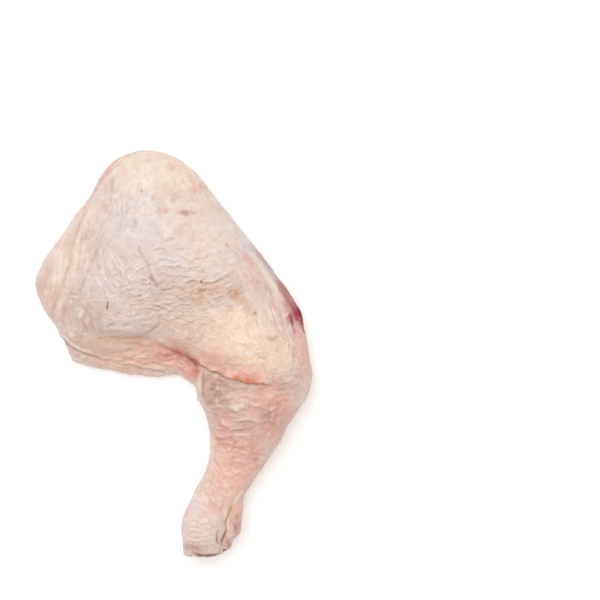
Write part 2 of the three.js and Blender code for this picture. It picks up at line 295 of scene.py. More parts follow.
# Thin lines pressed between the ridges, darkened with painted shade: depth, width and paths.
LINES = [
    (0.8, 1.2, [
        [-20.4, 40, -16, 40.6], [-25.2, 33.1, -22.6, 33.1, -18.6, 34.3], [-35, 45.5, -33, 45.5],
        [-14.9, 31.7, -12.9, 32.8, -10.9, 33.1], [-34.7, 23.1, -31.8, 23.8], [-25.8, 21.1, -23.5, 22.5],
        [-39, 15.3, -36.7, 16.5, -34.1, 17.1], [-30.1, 15.6, -28.4, 16.2, -25.5, 17.1],
        [-45.9, 52.6, -44.7, 49.8], [-32.7, 83.4, -32.7, 80.8], [-25.2, 94.2, -25.2, 90.4],
        [-12.2, 93, -12.6, 90.4], [-38, 93.6, -38.2, 90.6], [-40.9, 102.2, -41, 95.4],
        [-35.3, 92, -35.2, 89.4], [29.4, -37.2, 33.4, -36.4, 36.4, -37.4], [40, -44.6, 44, -44],
        [24, -37.4, 27, -38.2], [43, -32.6, 47, -33], [26, -47.6, 29.6, -47],
        [34, -58.6, 39, -58, 43, -58.8], [-23.8, 79.6, -22.6, 78.6, -23.2, 77], [-20.6, 88.2, -20, 85.8],
        [51, 24.2, 48.8, 22.6], [10, -101.1, 13.7, -101.4, 14.9, -103.5, 17.9, -103.8, 19.2, -104.4],
        [7.6, -104.4, 12, -105, 17.4, -106.6], [8.4, -108, 13.4, -108, 18.6, -109],
        [7.8, -111.2, 12.6, -111.8, 18, -111.4], [9, -114, 14.4, -114.6, 20.6, -114],
        [10.9, -117, 13, -117.9, 15.5, -118.8], [35.7, -102.4, 36.8, -105.4, 37, -109],
        [33.8, -98, 34.6, -101.6, 34, -105],
    ]),
    (0.4, 1, [
        [52, -36, 55, -38, 57.6, -41], [55.6, -33.6, 58.6, -36], [52.6, -41, 56, -42.4, 59.4, -40.6],
        [56.6, -38, 58.4, -43], [60, -38, 63, -40.6],
    ]),
]
LINE_ENDS = 0.15

# Short folds in rows over a spot: the spot, a fold's length, width and depth, and the seed.
GATHERS = [
    (10, 44, 38, 31, 8, 9, 3.2, 0.5, 3), (10, 40, 42, 35, 2, 4.6, 2, 0.34, 4),
    (26, 44, 18, 20, 18, 12, 3.4, 0.36, 5), (-6, 28, 32, 18, -4, 5.6, 2.8, 0.46, 6),
    (14, 22, 28, 10, 12, 7, 2.4, 0.3, 7), (-28, 46, 22, 18, -48, 9, 3, 0.28, 8),
    (-34, 34, 20, 12, -20, 5, 2.4, 0.24, 9), (-28, 19, 20, 11, 4, 6, 2.4, 0.22, 10),
    (-52, 62, 38, 12, 70, 24, 3.4, 0.32, 11), (-74, 40, 30, 9, 80, 16, 3.6, 0.28, 12),
    (-52, 22, 18, 14, 84, 12, 3.6, 0.26, 13), (-28, 90, 26, 20, 80, 12, 4, 0.18, 14),
    (2, 90, 24, 26, -50, 8, 3.4, 0.2, 15), (55, 38, 46, 13, -57, 20, 2.8, 0.4, 16),
    (70, 16, 34, 8, -66, 16, 2.6, 0.36, 17), (-22, -7, 44, 9, -8, 9, 2.6, 0.22, 18),
    (-26, 1, 34, 6, -6, 12, 3, 0.24, 19), (50, 6, 32, 18, -40, 8, 4, 0.22, 20),
    (66, -17, 18, 9, -4, 8, 2, 0.3, 21), (64, -26, 15, 9, -4, 10, 2.2, 0.26, 22),
    (42, -38, 26, 22, 4, 10, 3.2, 0.28, 23), (42, -40, 28, 26, 8, 4.4, 2.2, 0.2, 24),
    (38, -64, 20, 16, -10, 5, 2.4, 0.28, 26), (26, -72, 16, 8, -62, 9, 3, 0.3, 27),
    (22, -86, 14, 10, -50, 7, 2.8, 0.28, 28), (15, -105, 13, 14, -8, 8, 1.8, 0.26, 29),
    (37, -102, 12, 6, 74, 7, 2.2, 0.34, 30), (24, -113, 14, 6, -4, 6, 2, 0.36, 31),
]

# Soft lumps over one place or the whole leg: length, width, height and seed, then whether they are round
# or crumpled to thin crests, and the middle and half sizes of the place.
ROUND, CRUMPLED = False, True
LUMPS = [
    (17, 17, 0.7, 61), (6, 6, 0.3, 67), (2.4, 2.4, 0.1, 71), (5, 3, 0.2, 73, CRUMPLED),
    (1.5, 1.2, 0.08, 74, CRUMPLED), (2, 10, 0.22, 75, CRUMPLED, (-26, 88), (26, 24)),
    (8, 8, 0.9, 31, ROUND, (46, 4), (34, 24)), (4.4, 4, 2, 45, ROUND, (25, -23), (12, 17)),
    (3, 3.4, 0.7, 46, CRUMPLED, (24, -22), (10, 14)), (4, 4, 0.4, 47, ROUND, (38, -64), (22, 22)),
    (3.2, 3.2, 1.6, 51, ROUND, (-20, -16), (46, 6)), (3, 3, 1.4, 52, ROUND, (-60, -6), (12, 9)),
    (3, 3, 1.3, 48, ROUND, (58, -44), (9, 26)), (2.4, 2.4, 0.5, 50, ROUND, (40, -66), (24, 30)),
    (6, 4, 0.5, 49, ROUND, (-4, 28), (36, 26)), (3, 3, 0.35, 53, ROUND, (24, -84), (14, 14)),
    (6, 3.4, 0.4, 55, CRUMPLED, (4, 40), (52, 34)), (7, 3, 0.22, 57, CRUMPLED, (-20, -2), (50, 14)),
    (5, 3, 0.2, 59, CRUMPLED, (42, -42), (28, 32)), (5, 2.2, 0.3, 60, CRUMPLED, (16, -106), (16, 16)),
]

# Nets of thin ridges, where membrane and dried skin have drawn together over a spot: the spot, a
# cell's length, width and height, and the seed.
NETS = [
    (-30, 41, 16, 13, -50, 3.8, 2.2, 0.5, 141), (-20, 28, 22, 12, -10, 5, 2.6, 0.36, 142),
    (-50, 36, 20, 20, 80, 6, 3, 0.3, 143), (-58, 18, 20, 12, 80, 6, 2.6, 0.4, 144),
    (-24, 92, 30, 22, 84, 7, 2.2, 0.32, 145), (4, 94, 24, 28, -50, 4.4, 3, 0.3, 146),
    (40, 12, 26, 24, -62, 7, 2.8, 0.36, 147), (44, -6, 34, 14, -14, 4.4, 3, 0.26, 148),
    (20, 14, 22, 16, 20, 5, 2.6, 0.36, 149), (26, -22, 11, 16, 60, 3.6, 2.8, 0.3, 150),
    (58, -34, 18, 26, 50, 4, 2.4, 0.26, 151), (-26, -5, 46, 11, -6, 6, 2, 0.26, 152),
    (22, -84, 14, 20, -62, 6, 2.2, 0.26, 153), (38, -66, 20, 24, -20, 4, 2.6, 0.24, 154),
    (15, -107, 14, 14, -4, 6, 1.9, 0.36, 155), (66, 14, 34, 10, -68, 9, 2, 0.4, 156),
    (-66, 52, 40, 12, 76, 12, 2.2, 0.4, 157), (-2, 66, 56, 12, -6, 5, 2.6, 0.26, 158),
    (38, -110, 12, 7, 70, 5, 1.8, 0.4, 159), (52, 56, 30, 10, -58, 9, 2.4, 0.3, 160),
]

# Small spots scattered over the upper side: tone, count, smallest and largest size, amount and seed.
SPECKS = [
    ("flesh", 22, 0.6, 1, 0.3, 161), ("tan", 60, 0.8, 2.2, 0.45, 162), ("fat", 120, 0.8, 2.6, 0.5, 163),
    ("rose", 90, 1, 3.4, 0.35, 164), ("lavender", 90, 1.6, 4, 0.6, 165),
]
SPECKED = dict(at=(0, 20), reach=(84, 110))

# Where each tone of the skin lies: spots, and streaks along a path with their width. The amount says
# how strong a tone is there. A grain is the length and width of the streaks that a spot is broken into
# along its turn. A patch that stays above some height runs down the wall to there.
TONE_PATCHES = {
    "cream": [
        (1, 3, 7, 3, -16, 0.5), (9, 18.5, 8, 5, 0, 0.5), (-2, 29.4, 8, 5, 0, 0.4),
        (-18, 34.6, 7, 5, 0, 0.4), (-12.4, 24, 7, 6, 0, 0.4), (30.8, -95.4, 3, 5, -14, 0.5),
        (5, 20, 24, 10, 8, 0.6), (-10, 27, 14, 9, 0, 0.4), (-66, 41, 10, 4, 76, 0.6),
        (42, 50, 8, 5, -50, 0.4), (-12, 110, 46, 22, -10, 0.8), (8, 88, 32, 28, -40, 0.6),
        spot(-62, 62, 50, 13, 70, 0.9, grain=(30, 2.2)), (20, 62, 28, 18, 10, 0.6),
        (20, 18, 34, 14, 4, 0.6), spot(-24, 94, 26, 20, 80, 0.5, grain=(9, 3)),
    ],
    "butter": [
        (42, 2, 44, 28, -8, 1), (68, -1, 9, 14, 0, 0.4), (36, 22, 26, 8, 10, 0.5),
    ],
    "lavender": [
        # Lavender is partly painted light: the spots at 28, 75, 24, 60, -29, 78, -28.6, 78 and -20, 82 stand
        # for the pale sheen of the light on the upper side, and the spot at -57.4, 21 is a painted wet
        # highlight.
        (28, 75, 16, 9, -44, 0.6), (3, 62, 16, 6, 6, 0.6), (-29, 78, 14, 10, 0, 0.5),
        (-14, 34, 12, 8, 0, 0.4), (-20, 82, 36, 30, 10, 1), (45, 64, 24, 10, -56, 0.9),
        (61, 48, 34, 8, -60, 0.9), spot(14, 52, 40, 16, 4, 0.5, grain=(9, 4)), (8, -92, 10, 10, -60, 0.8),
        (-32, 44, 34, 26, 0, 0.7), (-2, 55, 14, 4, 8, 0.8), (24, 60, 16, 5, 8, 0.5),
        (-28, 18, 24, 12, 0, 0.5), (-21.6, 91.8, 4, 6, 0, 0.6), (-28.6, 78, 9, 6, 0, 0.5),
        (30.8, 56.6, 9, 5, -10, 0.4), (-45, 62, 9, 6, 70, 0.5), (-66.4, 40, 5, 5, 0, 0.4),
        (-17.8, 105, 7, 6, 0, 0.5), (25.4, -14.6, 5, 1.8, -24, 0.5), (17, 86, 10, 7, -50, 0.6),
        (13, -88.2, 4, 5, -60, 0.5), (-57.4, 21, 3.4, 6, 8, 0.6), (71, 8, 16, 4, -80, 0.8),
        (74, -8, 10, 6, -80, 0.6), spot(40, -50, 12, 16, 0, 0.4, grain=(7, 3)),
    ],
    "dull": [
        (-56, 20, 26, 22, 0, 0.9), (-77, 38, 18, 10, 84, 0.6),
        streak([8, -86, 5, -94, 4, -104, 6, -114], 5, 0.5), (68, -21, 12, 6, -10, 0.6),
        (-37, 99.6, 8, 3, 80, 0.8), (-52, 71, 14, 6, 66, 0.7),
        spot(-50, 56, 36, 12, 70, 0.8, grain=(22, 1.8)), (-52, -4, 22, 10, -30, 0.5),
        (-12, 30, 44, 26, 0, 0.6), (-39.4, 45.6, 7, 6, 0, 0.4), (-23.2, 56.4, 6, 5, 0, 0.4),
        # The spot at -39.4, 7.8 is painted shade in the groove under the bulge; the spot at 26, -19 and the
        # streak on the next line are painted shade under the hem of the knee.
        (-34, 61.8, 6, 5, 0, 0.5), (-39.4, 7.8, 9, 2, 0, 0.5), (26, -19, 15, 18, 0, 1),
        streak([18, -13, 26, -18, 34, -20.6, 44, -22, 56, -23.4], 6, 0.9), (46, -38, 26, 24, 0, 0.8),
        (42, -60, 14, 20, -20, 0.5), (20, -116, 18, 8, 0, 0.3),
        spot(-30, 84, 20, 20, 82, 0.35, grain=(9, 1.6)), (2, 94, 7, 8, 0, 0.3), (-60.6, 36, 4, 4, 0, 0.5),
    ],
    "peach": [
        (-16, -2, 50, 11, -4, 0.8), spot(-77, 33, 20, 9, 84, 0.4, grain=(20, 5)),
        spot(12, 100, 24, 14, -50, 0.4, grain=(6, 3)), (-28, -8, 30, 8, -4, 0.5), (36, -72, 24, 36, -14, 1),
        (56, -30, 20, 24, 0, 0.9), (28, -5, 24, 11, -24, 0.7), (36, -13.4, 14, 3.4, -16, 0.6),
        (48, -11, 24, 7, -14, 0.4), (10, 16, 22, 9, 0, 0.5), (9.4, 5, 6, 7, 0, 0.6),
        (7, -8.6, 7, 4, -30, 0.6), (-1, 7.6, 12, 4, -8, 0.6), (2, -8.6, 9, 3.6, -20, 0.7),
        spot(78, -2, 26, 7, -84, 0.7, above=3), (-16, 3, 22, 7, -8, 0.5),
        spot(66, 12, 22, 5, -70, 0.4, grain=(9, 2)),
    ],
    "rose": [
        spot(38, -14, 18, 3.6, -14, 0.8, grain=(5, 2.6)), (57.8, 29.4, 7, 4, -60, 0.4),
        (20, -97, 6, 7, -20, 0.4), (49, -67, 5, 9, 24, 0.5), (29, -42, 11, 20, -8, 0.6),
        (42, -29, 18, 7, 0, 0.5), (58, -49, 7, 12, 24, 0.6), (25.4, -94, 8, 6, -40, 0.5),
        (20, -9, 5, 5, -30, 0.4), spot(49.5, 44, 28, 7.5, -60, 1, grain=(14, 3)),
        spot(64, 17, 24, 6, -68, 0.5, grain=(14, 2.6)), (69, 29, 14, 8, -60, 0.8),
        (74.6, -13.6, 7, 5, -60, 0.45), (69.6, 18.4, 8, 4, -68, 0.6), (74, 12.6, 6, 3, -76, 0.5),
        spot(78, 3, 24, 6, -84, 0.35, above=3), (45.6, 53, 12, 4.4, -62, 0.6),
        spot(74.6, 2, 20, 5, -78, 0.35, grain=(12, 2)), (8, -8.6, 9, 7, -40, 0.8),
        (3.8, -3.6, 5, 3, -30, 0.6), (10, -12, 8, 7, -50, 0.9), (26, -4, 15, 7, -24, 0.3),
        (44, -14.4, 9, 2.8, -12, 0.8), (50, -14.4, 7, 3.6, -12, 0.7), (62, -34, 16, 22, 18, 0.8),
        (28, -54.4, 9, 7, -20, 0.6), (51, -61, 6, 14, 24, 0.55), (38, -101, 7, 20, 8, 0.6),
        (24, 37, 10, 3, 24, 0.5), (40, -48, 20, 24, -16, 0.55),
        streak([-28.9, 118.7, -33.8, 114.7, -37.2, 111, -42.7, 104.9, -47.4, 100.4], 2.2, 0.7),
        (-76, 45.6, 7, 3, 80, 0.4), streak([-64.4, 31, -65, 25, -65.8, 19.6, -66.4, 13.5], 3.4, 0.3),
        (8, -96, 6, 5, 60, 0.4), (34, -118, 5, 4, 0, 0.5), (-26, 6, 26, 3.4, -3, 0.15),
    ],
    "plum": [
        # Plum is partly painted shade: the streak and spots along the right edge darken the steep side that
        # turns from the light, over the purple of dark meat under the skin, and the spot at 4, -2.6 darkens
        # the fold above the hem.
        streak([46, 68, 54, 57, 62, 45, 69, 34, 74, 24, 76.6, 12], 5, 0.55, above=2),
        (52, 58, 14, 3.4, -56, 0.3), spot(68.4, 33, 18, 5, -60, 0.8, above=3),
        (7.4, 83.4, 7.6, 2.7, 0, 0.7), (4, -2.6, 12, 3, -40, 0.5), (38, -104, 6, 13, 6, 0.4),
        (25.4, -30.4, 7, 3.4, 0, 0.35), (30.8, -51.8, 8, 4, -10, 0.3), (33.4, -115.6, 4, 2.2, -60, 0.9),
        (30.8, -119.6, 3, 1.6, -20, 0.7), streak([-64.8, 30, -66, 22, -67.4, 15], 1.6, 0.15),
    ],
    "mauve": [
        (11.6, -117, 12, 5, -8, 0.95), (64, -19.4, 18, 7, -4, 0.5), (52.4, -23, 7, 5, -4, 0.7),
        (41, -62, 12, 14, -10, 0.3), (30, -30.6, 14, 4.6, 0, 0.8), (36, -46.6, 9, 5, 0, 0.4),
        (29, -40, 10, 16, 0, 0.35), (24, -24, 12, 20, 0, 0.9),
        # Painted shade under the hem of the knee.
        streak([18, -12, 26, -17, 34, -20, 44, -21.4, 54, -22.6], 4.4, 0.35),
        spot(44, -42, 22, 18, 8, 0.7, grain=(12, 5)), (60, -40, 12, 16, 20, 0.35),
        streak([17.2, -9, 17.2, -16, 17.2, -24, 17.2, -29], 1.1, 0.9), (-36, 12, 20, 3, 0, 0.4),
        (-12.4, -3.4, 7, 3, -4, 0.4), (27.2, -26.7, 4, 2.8, 0, 0.7), (-40.3, 27.8, 3.2, 1.2, 84, 0.9),
        (-54, 24, 5, 4, 0, 0.5), (13.4, 83.2, 5, 1.1, 0, 0.5), (8, 82.6, 7, 1.2, 2, 0.25),
        streak([-66.4, 8.4, -61, 3, -55, 0], 1.4, 0.6),
    ],
    "tan": [
        (-50, 4.6, 22, 7, -14, 0.6), (47, 24, 8, 5, -40, 0.6), (15, 29, 10, 7, 0, 0.6),
        (9, 1, 8, 5, -30, 0.4), (-7, 94, 8, 9, 0, 0.3), (36, 36, 10, 5, 30, 0.9),
        (39.6, 31.4, 8, 5, -40, 1), (33, 46, 8, 2.4, 40, 0.5), (43.6, 27, 4, 2.4, -40, 0.7),
        (17, 36, 20, 9, 0, 0.9), (-20, 2, 40, 8, -4, 0.35), (2, 4, 12, 5, -16, 0.3),
        (45.4, 24.8, 2.6, 2.2, -40, 0.8), (48.6, 22.8, 2, 1.4, -40, 0.8), (58, 7.4, 5, 1.8, -20, 0.6),
        (46.9, -7.7, 3, 1.4, 0, 0.5), (54, -4, 5, 1.6, -10, 0.5), (-24, -8, 26, 6, -4, 0.5),
        (-41.8, 88, 5, 2.2, 84, 0.7), (-15.8, 114, 4, 2, 0, 0.5), (21, -20, 5, 12, 0, 0.5),
        # The streak along the groove under the oval bulge is painted shade.
        (20.5, -17.2, 1.6, 2, 0, 0.7), streak([-54, 7.4, -43.6, 7.6, -33.4, 7.8, -22, 8, -12, 7], 5, 0.25),
        (-0.1, 93, 3.4, 5, 0, 0.35), (-62.3, 30.6, 5, 2.4, -20, 0.4), (-19, 94.8, 1.4, 1.2, 0, 0.8),
        (12, -83, 6, 4, -50, 0.3),
    ],
    "flesh": [
        streak([-14, -2.2, -6, -2.8, 2, -3, 7, -4.6], 5, 0.5), (31, -111.4, 4, 8, 0, 0.2),
        streak([-8, 5, 2, 1.8, 8, -2, 14.6, -6.6], 4.6, 0.35),
        # This streak is the red of meat in the fold above the hem, made darker as painted shade in that fold.
        streak([5, 0.6, 11, -3.4, 16, -7, 22, -10.6], 1.8, 0.5),
        streak([8, -3.4, 12.4, -6.6, 13.6, -11, 13.6, -18], 3, 0.45), (-8.9, 2.6, 4, 1.8, -10, 0.4),
        streak([-2, 1.4, 2, 0.6, 6, -1.2], 2.2, 0.4),
        streak([34, -14.4, 40, -16.2, 45.6, -17.2, 51, -18.2], 1.5, 0.9),
        streak([47, -17.8, 51, -18.4, 55.6, -19], 1.3, 0.6), (42.6, -14.4, 9, 2.4, -12, 0.32),
        (37.4, -14.4, 3.6, 1.5, -14, 0.42), (46.8, -16, 5, 1.6, -12, 0.42), (3.6, -3.4, 4, 2.2, -30, 0.5),
        (28.9, -11.6, 4, 1, -24, 0.3), streak([71, 6, 71.8, 1, 72.8, -5], 1.5, 0.5),
        (-6.4, 85.6, 6, 4.8, 0, 0.42), (-40.2, 84.2, 3, 1.3, -70, 0.5), (-19.2, 96.9, 1.5, 1.9, 0, 0.7),
        (37.4, -54.1, 2.6, 1.8, 10, 0.8), (23.6, -85.6, 4, 2.6, -40, 0.25), (32.3, -19.5, 1.7, 1, -30, 1),
        (35.8, -23, 2.6, 1, -16, 0.8), (59, -43, 3, 3, 0, 0.35), (38, 35, 2, 1.4, -20, 0.5),
        (15.1, 35.3, 3, 1.6, 30, 0.5), (32, 63.8, 3, 1.2, -50, 0.5),
        streak([-60, 2.5, -52.6, -1.2, -47, -2.7, -41.6, -4.5], 0.9, 0.4),
        streak([-70, 33, -71.6, 26, -72.6, 21], 1.6, 0.3), (2, -12.6, 2, 1.4, 0, 0.3),
        streak([-32.5, 8.4, -25, 8.4, -17, 7.8], 1.4, 0.25),
    ],
    "wine": [
        spot(73.6, 23, 10, 5.4, -60, 1.2, above=3), streak([68.4, 22.6, 69.8, 20, 71.4, 16.8], 2.1, 1.3),
        streak([76.6, 18, 77.6, 13], 2.4, 0.6, above=4), streak([72, 15, 73.8, 10.6], 1.2, 0.5),
        (66.6, 29, 5, 1.6, -60, 0.4), (68.4, 19.2, 3, 1.6, -60, 0.3),
    ],
    "blood": [
        spot(76.8, 23, 9, 3, -60, 1.3, above=5), streak([77.2, 20, 78, 16], 2.6, 0.9, above=4),
        streak([78, 15.6, 78.8, 10.6], 1.6, 0.6, above=6),
        streak([69.8, 19.6, 71.2, 17, 72.2, 14.6], 1.3, 1), (17.6, 49.2, 1.2, 1, 0, 0.6),
        (16.8, 42, 1.3, 1.2, 0, 1.4),
    ],
    "fat": [
        (9.2, 18.6, 9, 4, 0, 0.35), (25, -14.4, 6, 1.8, -24, 0.45), (71.8, 3.6, 9, 1.8, -84, 0.5),
        (-12.4, 21.6, 7, 6, 0, 0.35), (-18, 34.6, 6, 4, 0, 0.35), (-1.6, 29, 8, 4, 0, 0.3),
        (38, 51, 7, 5, -50, 0.35), (30, 74, 12, 8, -56, 0.25), (30.8, -97, 3, 6, -10, 0.35),
        (-28, 2.4, 9, 2.4, -2, 0.25), (20, 2.4, 6, 4, -20, 0.25), (36.4, -8.4, 6, 3, -14, 0.25),
        (41.6, -41, 5, 3, 0, 0.3), (-17.8, 104, 12, 9, 60, 0.6),
        spot(-22, 92, 22, 18, 80, 0.55, grain=(7, 1.8)), spot(-56, 62, 34, 8, 68, 0.6, grain=(18, 1.4)),
        streak([-57, 71, -61.6, 61.1, -64.4, 53, -65.2, 46], 1.8, 0.6),
        streak([-66.6, 63, -68, 55, -69, 48, -70.6, 43, -67.6, 39], 2.8, 0.7),
        streak([-67.6, 33, -68.6, 27, -69.6, 21], 2.4, 0.5), spot(48, 0, 24, 12, -20, 0.5, grain=(7, 3)),
        streak([46, 61, 50.6, 54, 55.4, 46.2, 59, 40, 62.6, 32.4, 65.4, 25, 68, 17], 2.8, 0.8),
        # The spot at 39, -31 and the three spots on the next line are painted highlights on the drumstick's
        # folds.
        spot(62, 16, 24, 8, -66, 0.6, grain=(12, 1.8)), spot(39, -31, 13, 8, 8, 0.35, grain=(6, 1.8)),
        (38.6, -32.2, 7, 1.7, 4, 0.6), (40.1, -38.2, 5, 1.6, 0, 0.5), (30.8, -42.1, 3, 1.4, 0, 0.4),
        (14, -106, 17, 18, -8, 0.4), (-53.8, -7.6, 4, 1.8, -10, 0.8),
        streak([41.4, -82.6, 38.7, -86.4, 36.9, -89.1, 35.1, -91.6], 0.8, 1.2),
        (19.8, -80.6, 1.8, 1.4, 0, 0.7),
        streak([-67.4, 11, -65.2, 8.9, -60.2, 5, -56, 2.8, -52.4, 1.4, -47, -0.2], 0.7, 0.6),
        streak([15.2, -7.2, 15.3, -13.5, 15.1, -22, 14.9, -28.4], 1.5, 0.4), (26.9, -22, 1.8, 1.2, 30, 0.5),
        (-15.8, 108.9, 2.4, 4, 0, 0.8), (-18.8, 102.3, 2.6, 1.6, 0, 0.8), (-25.2, 96.6, 2, 3.4, 0, 0.8),
        (-31.8, 89, 1.5, 3.6, 0, 0.8), (-15.8, 84.4, 2, 3, 0, 0.6), (-2.9, 103.7, 2.6, 2, 0, 0.5),
        (-7.2, 109.2, 2.4, 2.4, 0, 0.6),
        streak([-42.4, 102.8, -37.5, 109.2, -33.5, 113.2, -27.1, 119.3], 1.1, 0.8),
        (47, -0.4, 5, 1.6, 6, 0.7), spot(-40.6, 56, 9, 3, -60, 0.4, grain=(6, 1.4)),
        spot(-28, 46, 16, 10, -50, 0.4, grain=(6, 1.5)), spot(50, 18, 14, 8, -60, 0.6, grain=(7, 1.8)),
        (-10, -9.6, 8, 2, -6, 0.4), (17, -90, 6, 5, -60, 0.5),
    ],
    "ochre": [
        streak([35, -91.4, 33.8, -94, 33.2, -96.5, 31.7, -99.5, 31.1, -103.8, 30.8, -108.6, 29.4, -113],
            1.6, 0.9), streak([25.8, -106, 26.2, -110, 26.8, -114], 1.1, 0.6),
        (26.5, -107.5, 1.4, 1.6, 0, 0.7), (31, -111, 3, 7, 0, 0.3), (22.8, -105, 1.6, 1.2, 0, 0.5),
        (22.8, -108.7, 1.4, 1.4, 0, 0.5), (54.8, 15.2, 1.5, 1.3, 0, 0.5), (41, -16, 2, 0.8, -14, 0.5),
        (-26, 91, 1, 2, 0, 0.3), (27.2, -22.6, 1.4, 1, 0, 0.4),
    ],
    "dry": [
        streak([31, -105, 30.8, -108, 29.9, -111.2, 29, -114.2, 28.4, -116.4], 0.8, 0.8),
        streak([26.2, -109.4, 26.5, -112.6, 27.4, -115.6], 0.7, 0.5),
        streak([10, -120.6, 14, -121.4, 19, -122, 25, -122, 28, -121], 1.5, 1),
        (19.2, -18, 1.4, 1.8, 0, 0.35), (17.9, -26, 1.2, 2.4, 0, 0.4), (22.4, -22.6, 1.3, 1.2, 0, 0.45),
        (31, -119, 3, 1.4, 10, 0.6), (48.4, 22.8, 1, 0.8, 0, 0.4), (-40.3, 27.6, 3.4, 1.2, 84, 1),
    ],
}

# Soft patches of tone on the underside, which is finished like the skin that shows: size, strength, seed.
UNDERSIDE_TONES = dict(cream=(34, 1, 83), lavender=(22, 0.9, 89), peach=(30, 0.5, 97), rose=(18, 0.4, 101),
                       tan=(14, 0.4, 103), dull=(16, 0.4, 107))
UPPER_TONES_BELOW = 0.2

# How a tone that stays above some height runs down the wall: it strays sideways and ends raggedly.
RUN_DOWN = {"from": 14, "over": 9, "stray": 16, "size": 7, "rag": 8, "fade": 7}
STRAY_SEED, RAG_SEED, GRAIN_SEED = 137, 139, 131
GRAIN_HEIGHT = 9

# The cut end of the hock: where it starts, over how far, and how strongly meat and gristle show on it.
# It is rough: size, height and seed of its lumps.
CUT_END = dict(y=-121.4, blend=1.4, flesh=0.3, dry=0.25)
GRISTLE = ((3.2, 1.1, 101), (1.3, 0.4, 103))

# The slope, as the height of the surface's direction, from which the wet film has run off.
STEEP = {"from": 0.62, "over": 0.4}

# The order in which the tones lie over each other, with how ragged and how fine each one's edge is.
TONE_LAYERS = [
    ("lavender", 0.7, 160), ("cream", 0.8, 200), ("butter", 0.8, 200), ("dull", 0.8, 240),
    ("peach", 0.7, 220), ("rose", 0.9, 300), ("mauve", 0.9, 260), ("tan", 1, 420), ("plum", 0.6, 260),
    ("fat", 0.9, 420), ("flesh", 0.8, 400), ("ochre", 0.5, 500), ("wine", 0.7, 400), ("dry", 0.8, 500),
    ("blood", 0.5, 500),
]

# What the mottling multiplies the skin by, where blood shows through it and where fat does.
FLUSHED = (0.935, 0.9, 0.893)
BLEACHED = (1.06, 1.065, 1.07)

# Values of the skin's shader that are the same all over.
SKIN_VALUES = {
    "Coat Roughness": 0.2, "Specular IOR Level": 0.35, "Subsurface Weight": 0.14,
    "Subsurface Radius": (1, 0.4, 0.25), "Subsurface Scale": 0.0012, "IOR": 1.4,
}
MOTTLE = dict(scale=180, detail=6, roughness=0.66)
FLECKS = dict(scale=700, detail=4, roughness=0.7)
FLOOR_VALUES = {"Roughness": 0.9, "Emission Color": (1, 1, 1, 1), "Emission Strength": 0.16}
FLOOR_SHADE = 0.985
PORE_BUMP = {"Strength": 0.4, "Distance": 0.0005}


def screen(red, green, blue):
    """The linear colour of a colour given as it looks on a screen, from 0 to 255."""
    return tuple(((c / 255 + 0.055) / 1.055) ** 2.4 for c in (red, green, blue))


def tone_property(name, description, *colour):
    return FloatVectorProperty(name=name, description=description, default=screen(*colour),
                               size=3, min=0, max=1, subtype="COLOR")


class LegSettings(bpy.types.PropertyGroup):
    """The tones of the leg."""

    skin: tone_property("Skin", "Tone of plain skin", 228, 208, 197)
    cream: tone_property("Cream", "Skin with fat under it", 239, 222, 205)
    butter: tone_property("Butter", "Warm fat under the skin of the knee", 249, 219, 193)
    # Lavender also paints the pale sheen of the light on the upper side and a wet highlight.
    lavender: tone_property("Lavender", "Thin cool skin stretched over meat", 226, 216, 218)
    # Dull also paints shade under the hem and in the groove under the bulge.
    dull: tone_property("Dull", "Greyed skin, dry and loose", 208, 184, 172)
    peach: tone_property("Peach", "Warm skin of the drumstick and the left lobe", 238, 190, 171)
    rose: tone_property("Rose", "Skin with pink meat close under it", 226, 168, 156)
    # Plum also paints shade on the steep right side and in the fold above the hem.
    plum: tone_property("Plum", "Skin over dark meat at the steep side", 184, 130, 122)
    # Mauve also paints shade under the hem of the knee.
    mauve: tone_property("Mauve", "Skin over bruised meat", 196, 158, 145)
    # Tan also paints shade in the groove under the bulge.
    tan: tone_property("Tan", "Tan blotches", 214, 180, 156)
    flesh: tone_property("Flesh", "Bare meat at a cut edge", 208, 124, 100)
    wine: tone_property("Wine", "Bruised meat beside the blood", 180, 62, 84)
    blood: tone_property("Blood", "Blood under the skin", 122, 2, 22)
    # Fat also paints highlights on the drumstick.
    fat: tone_property("Fat", "White fat and membrane", 244, 230, 216)
    ochre: tone_property("Ochre", "Yellow tendon in the slits of the hock", 206, 164, 116)
    dry: tone_property("Dry", "Dried meat and gristle at a cut", 138, 102, 88)
    crease: tone_property("Crease", "What is left of the light in a crease", 232, 220, 211)
    # Crest paints highlight on the tops of folds and ridges.
    crest: tone_property("Crest", "Skin stretched over the top of a fold", 248, 236, 230)


class StageSettings(bpy.types.PropertyGroup):
    """The floor and the lights."""

    floor: tone_property("Floor", "Colour of the floor", 250, 250, 250)
    key: FloatProperty(name="Key light", description="Strength of the wide light from the upper left",
                       default=1.65, min=0)
    fill: FloatProperty(name="Fill", description="Strength of the soft light from all round",
                        default=0.55, min=0)


def fade(share):
    """1 at 0, falling smoothly to 0 at 1 and past it."""
    return np.where(share >= 1, 0, (1 - np.minimum(share, 1) ** 2) ** 2)


def bell(value, middle, width):
    return np.exp(-((value - middle) / width) ** 2)


def turned(x, y, degrees):
    """x and y in axes that are turned by this angle."""
    c, s = math.cos(math.radians(degrees)), math.sin(math.radians(degrees))
    return x * c + y * s, y * c - x * s


def ellipse(x, y, middle_x, middle_y, length, width, turn=0):
    """1 in the middle of the ellipse, fading to 0 at its edge."""
    along, across = turned(x - middle_x, y - middle_y, turn)
    return fade(np.hypot(along / length, across / width))


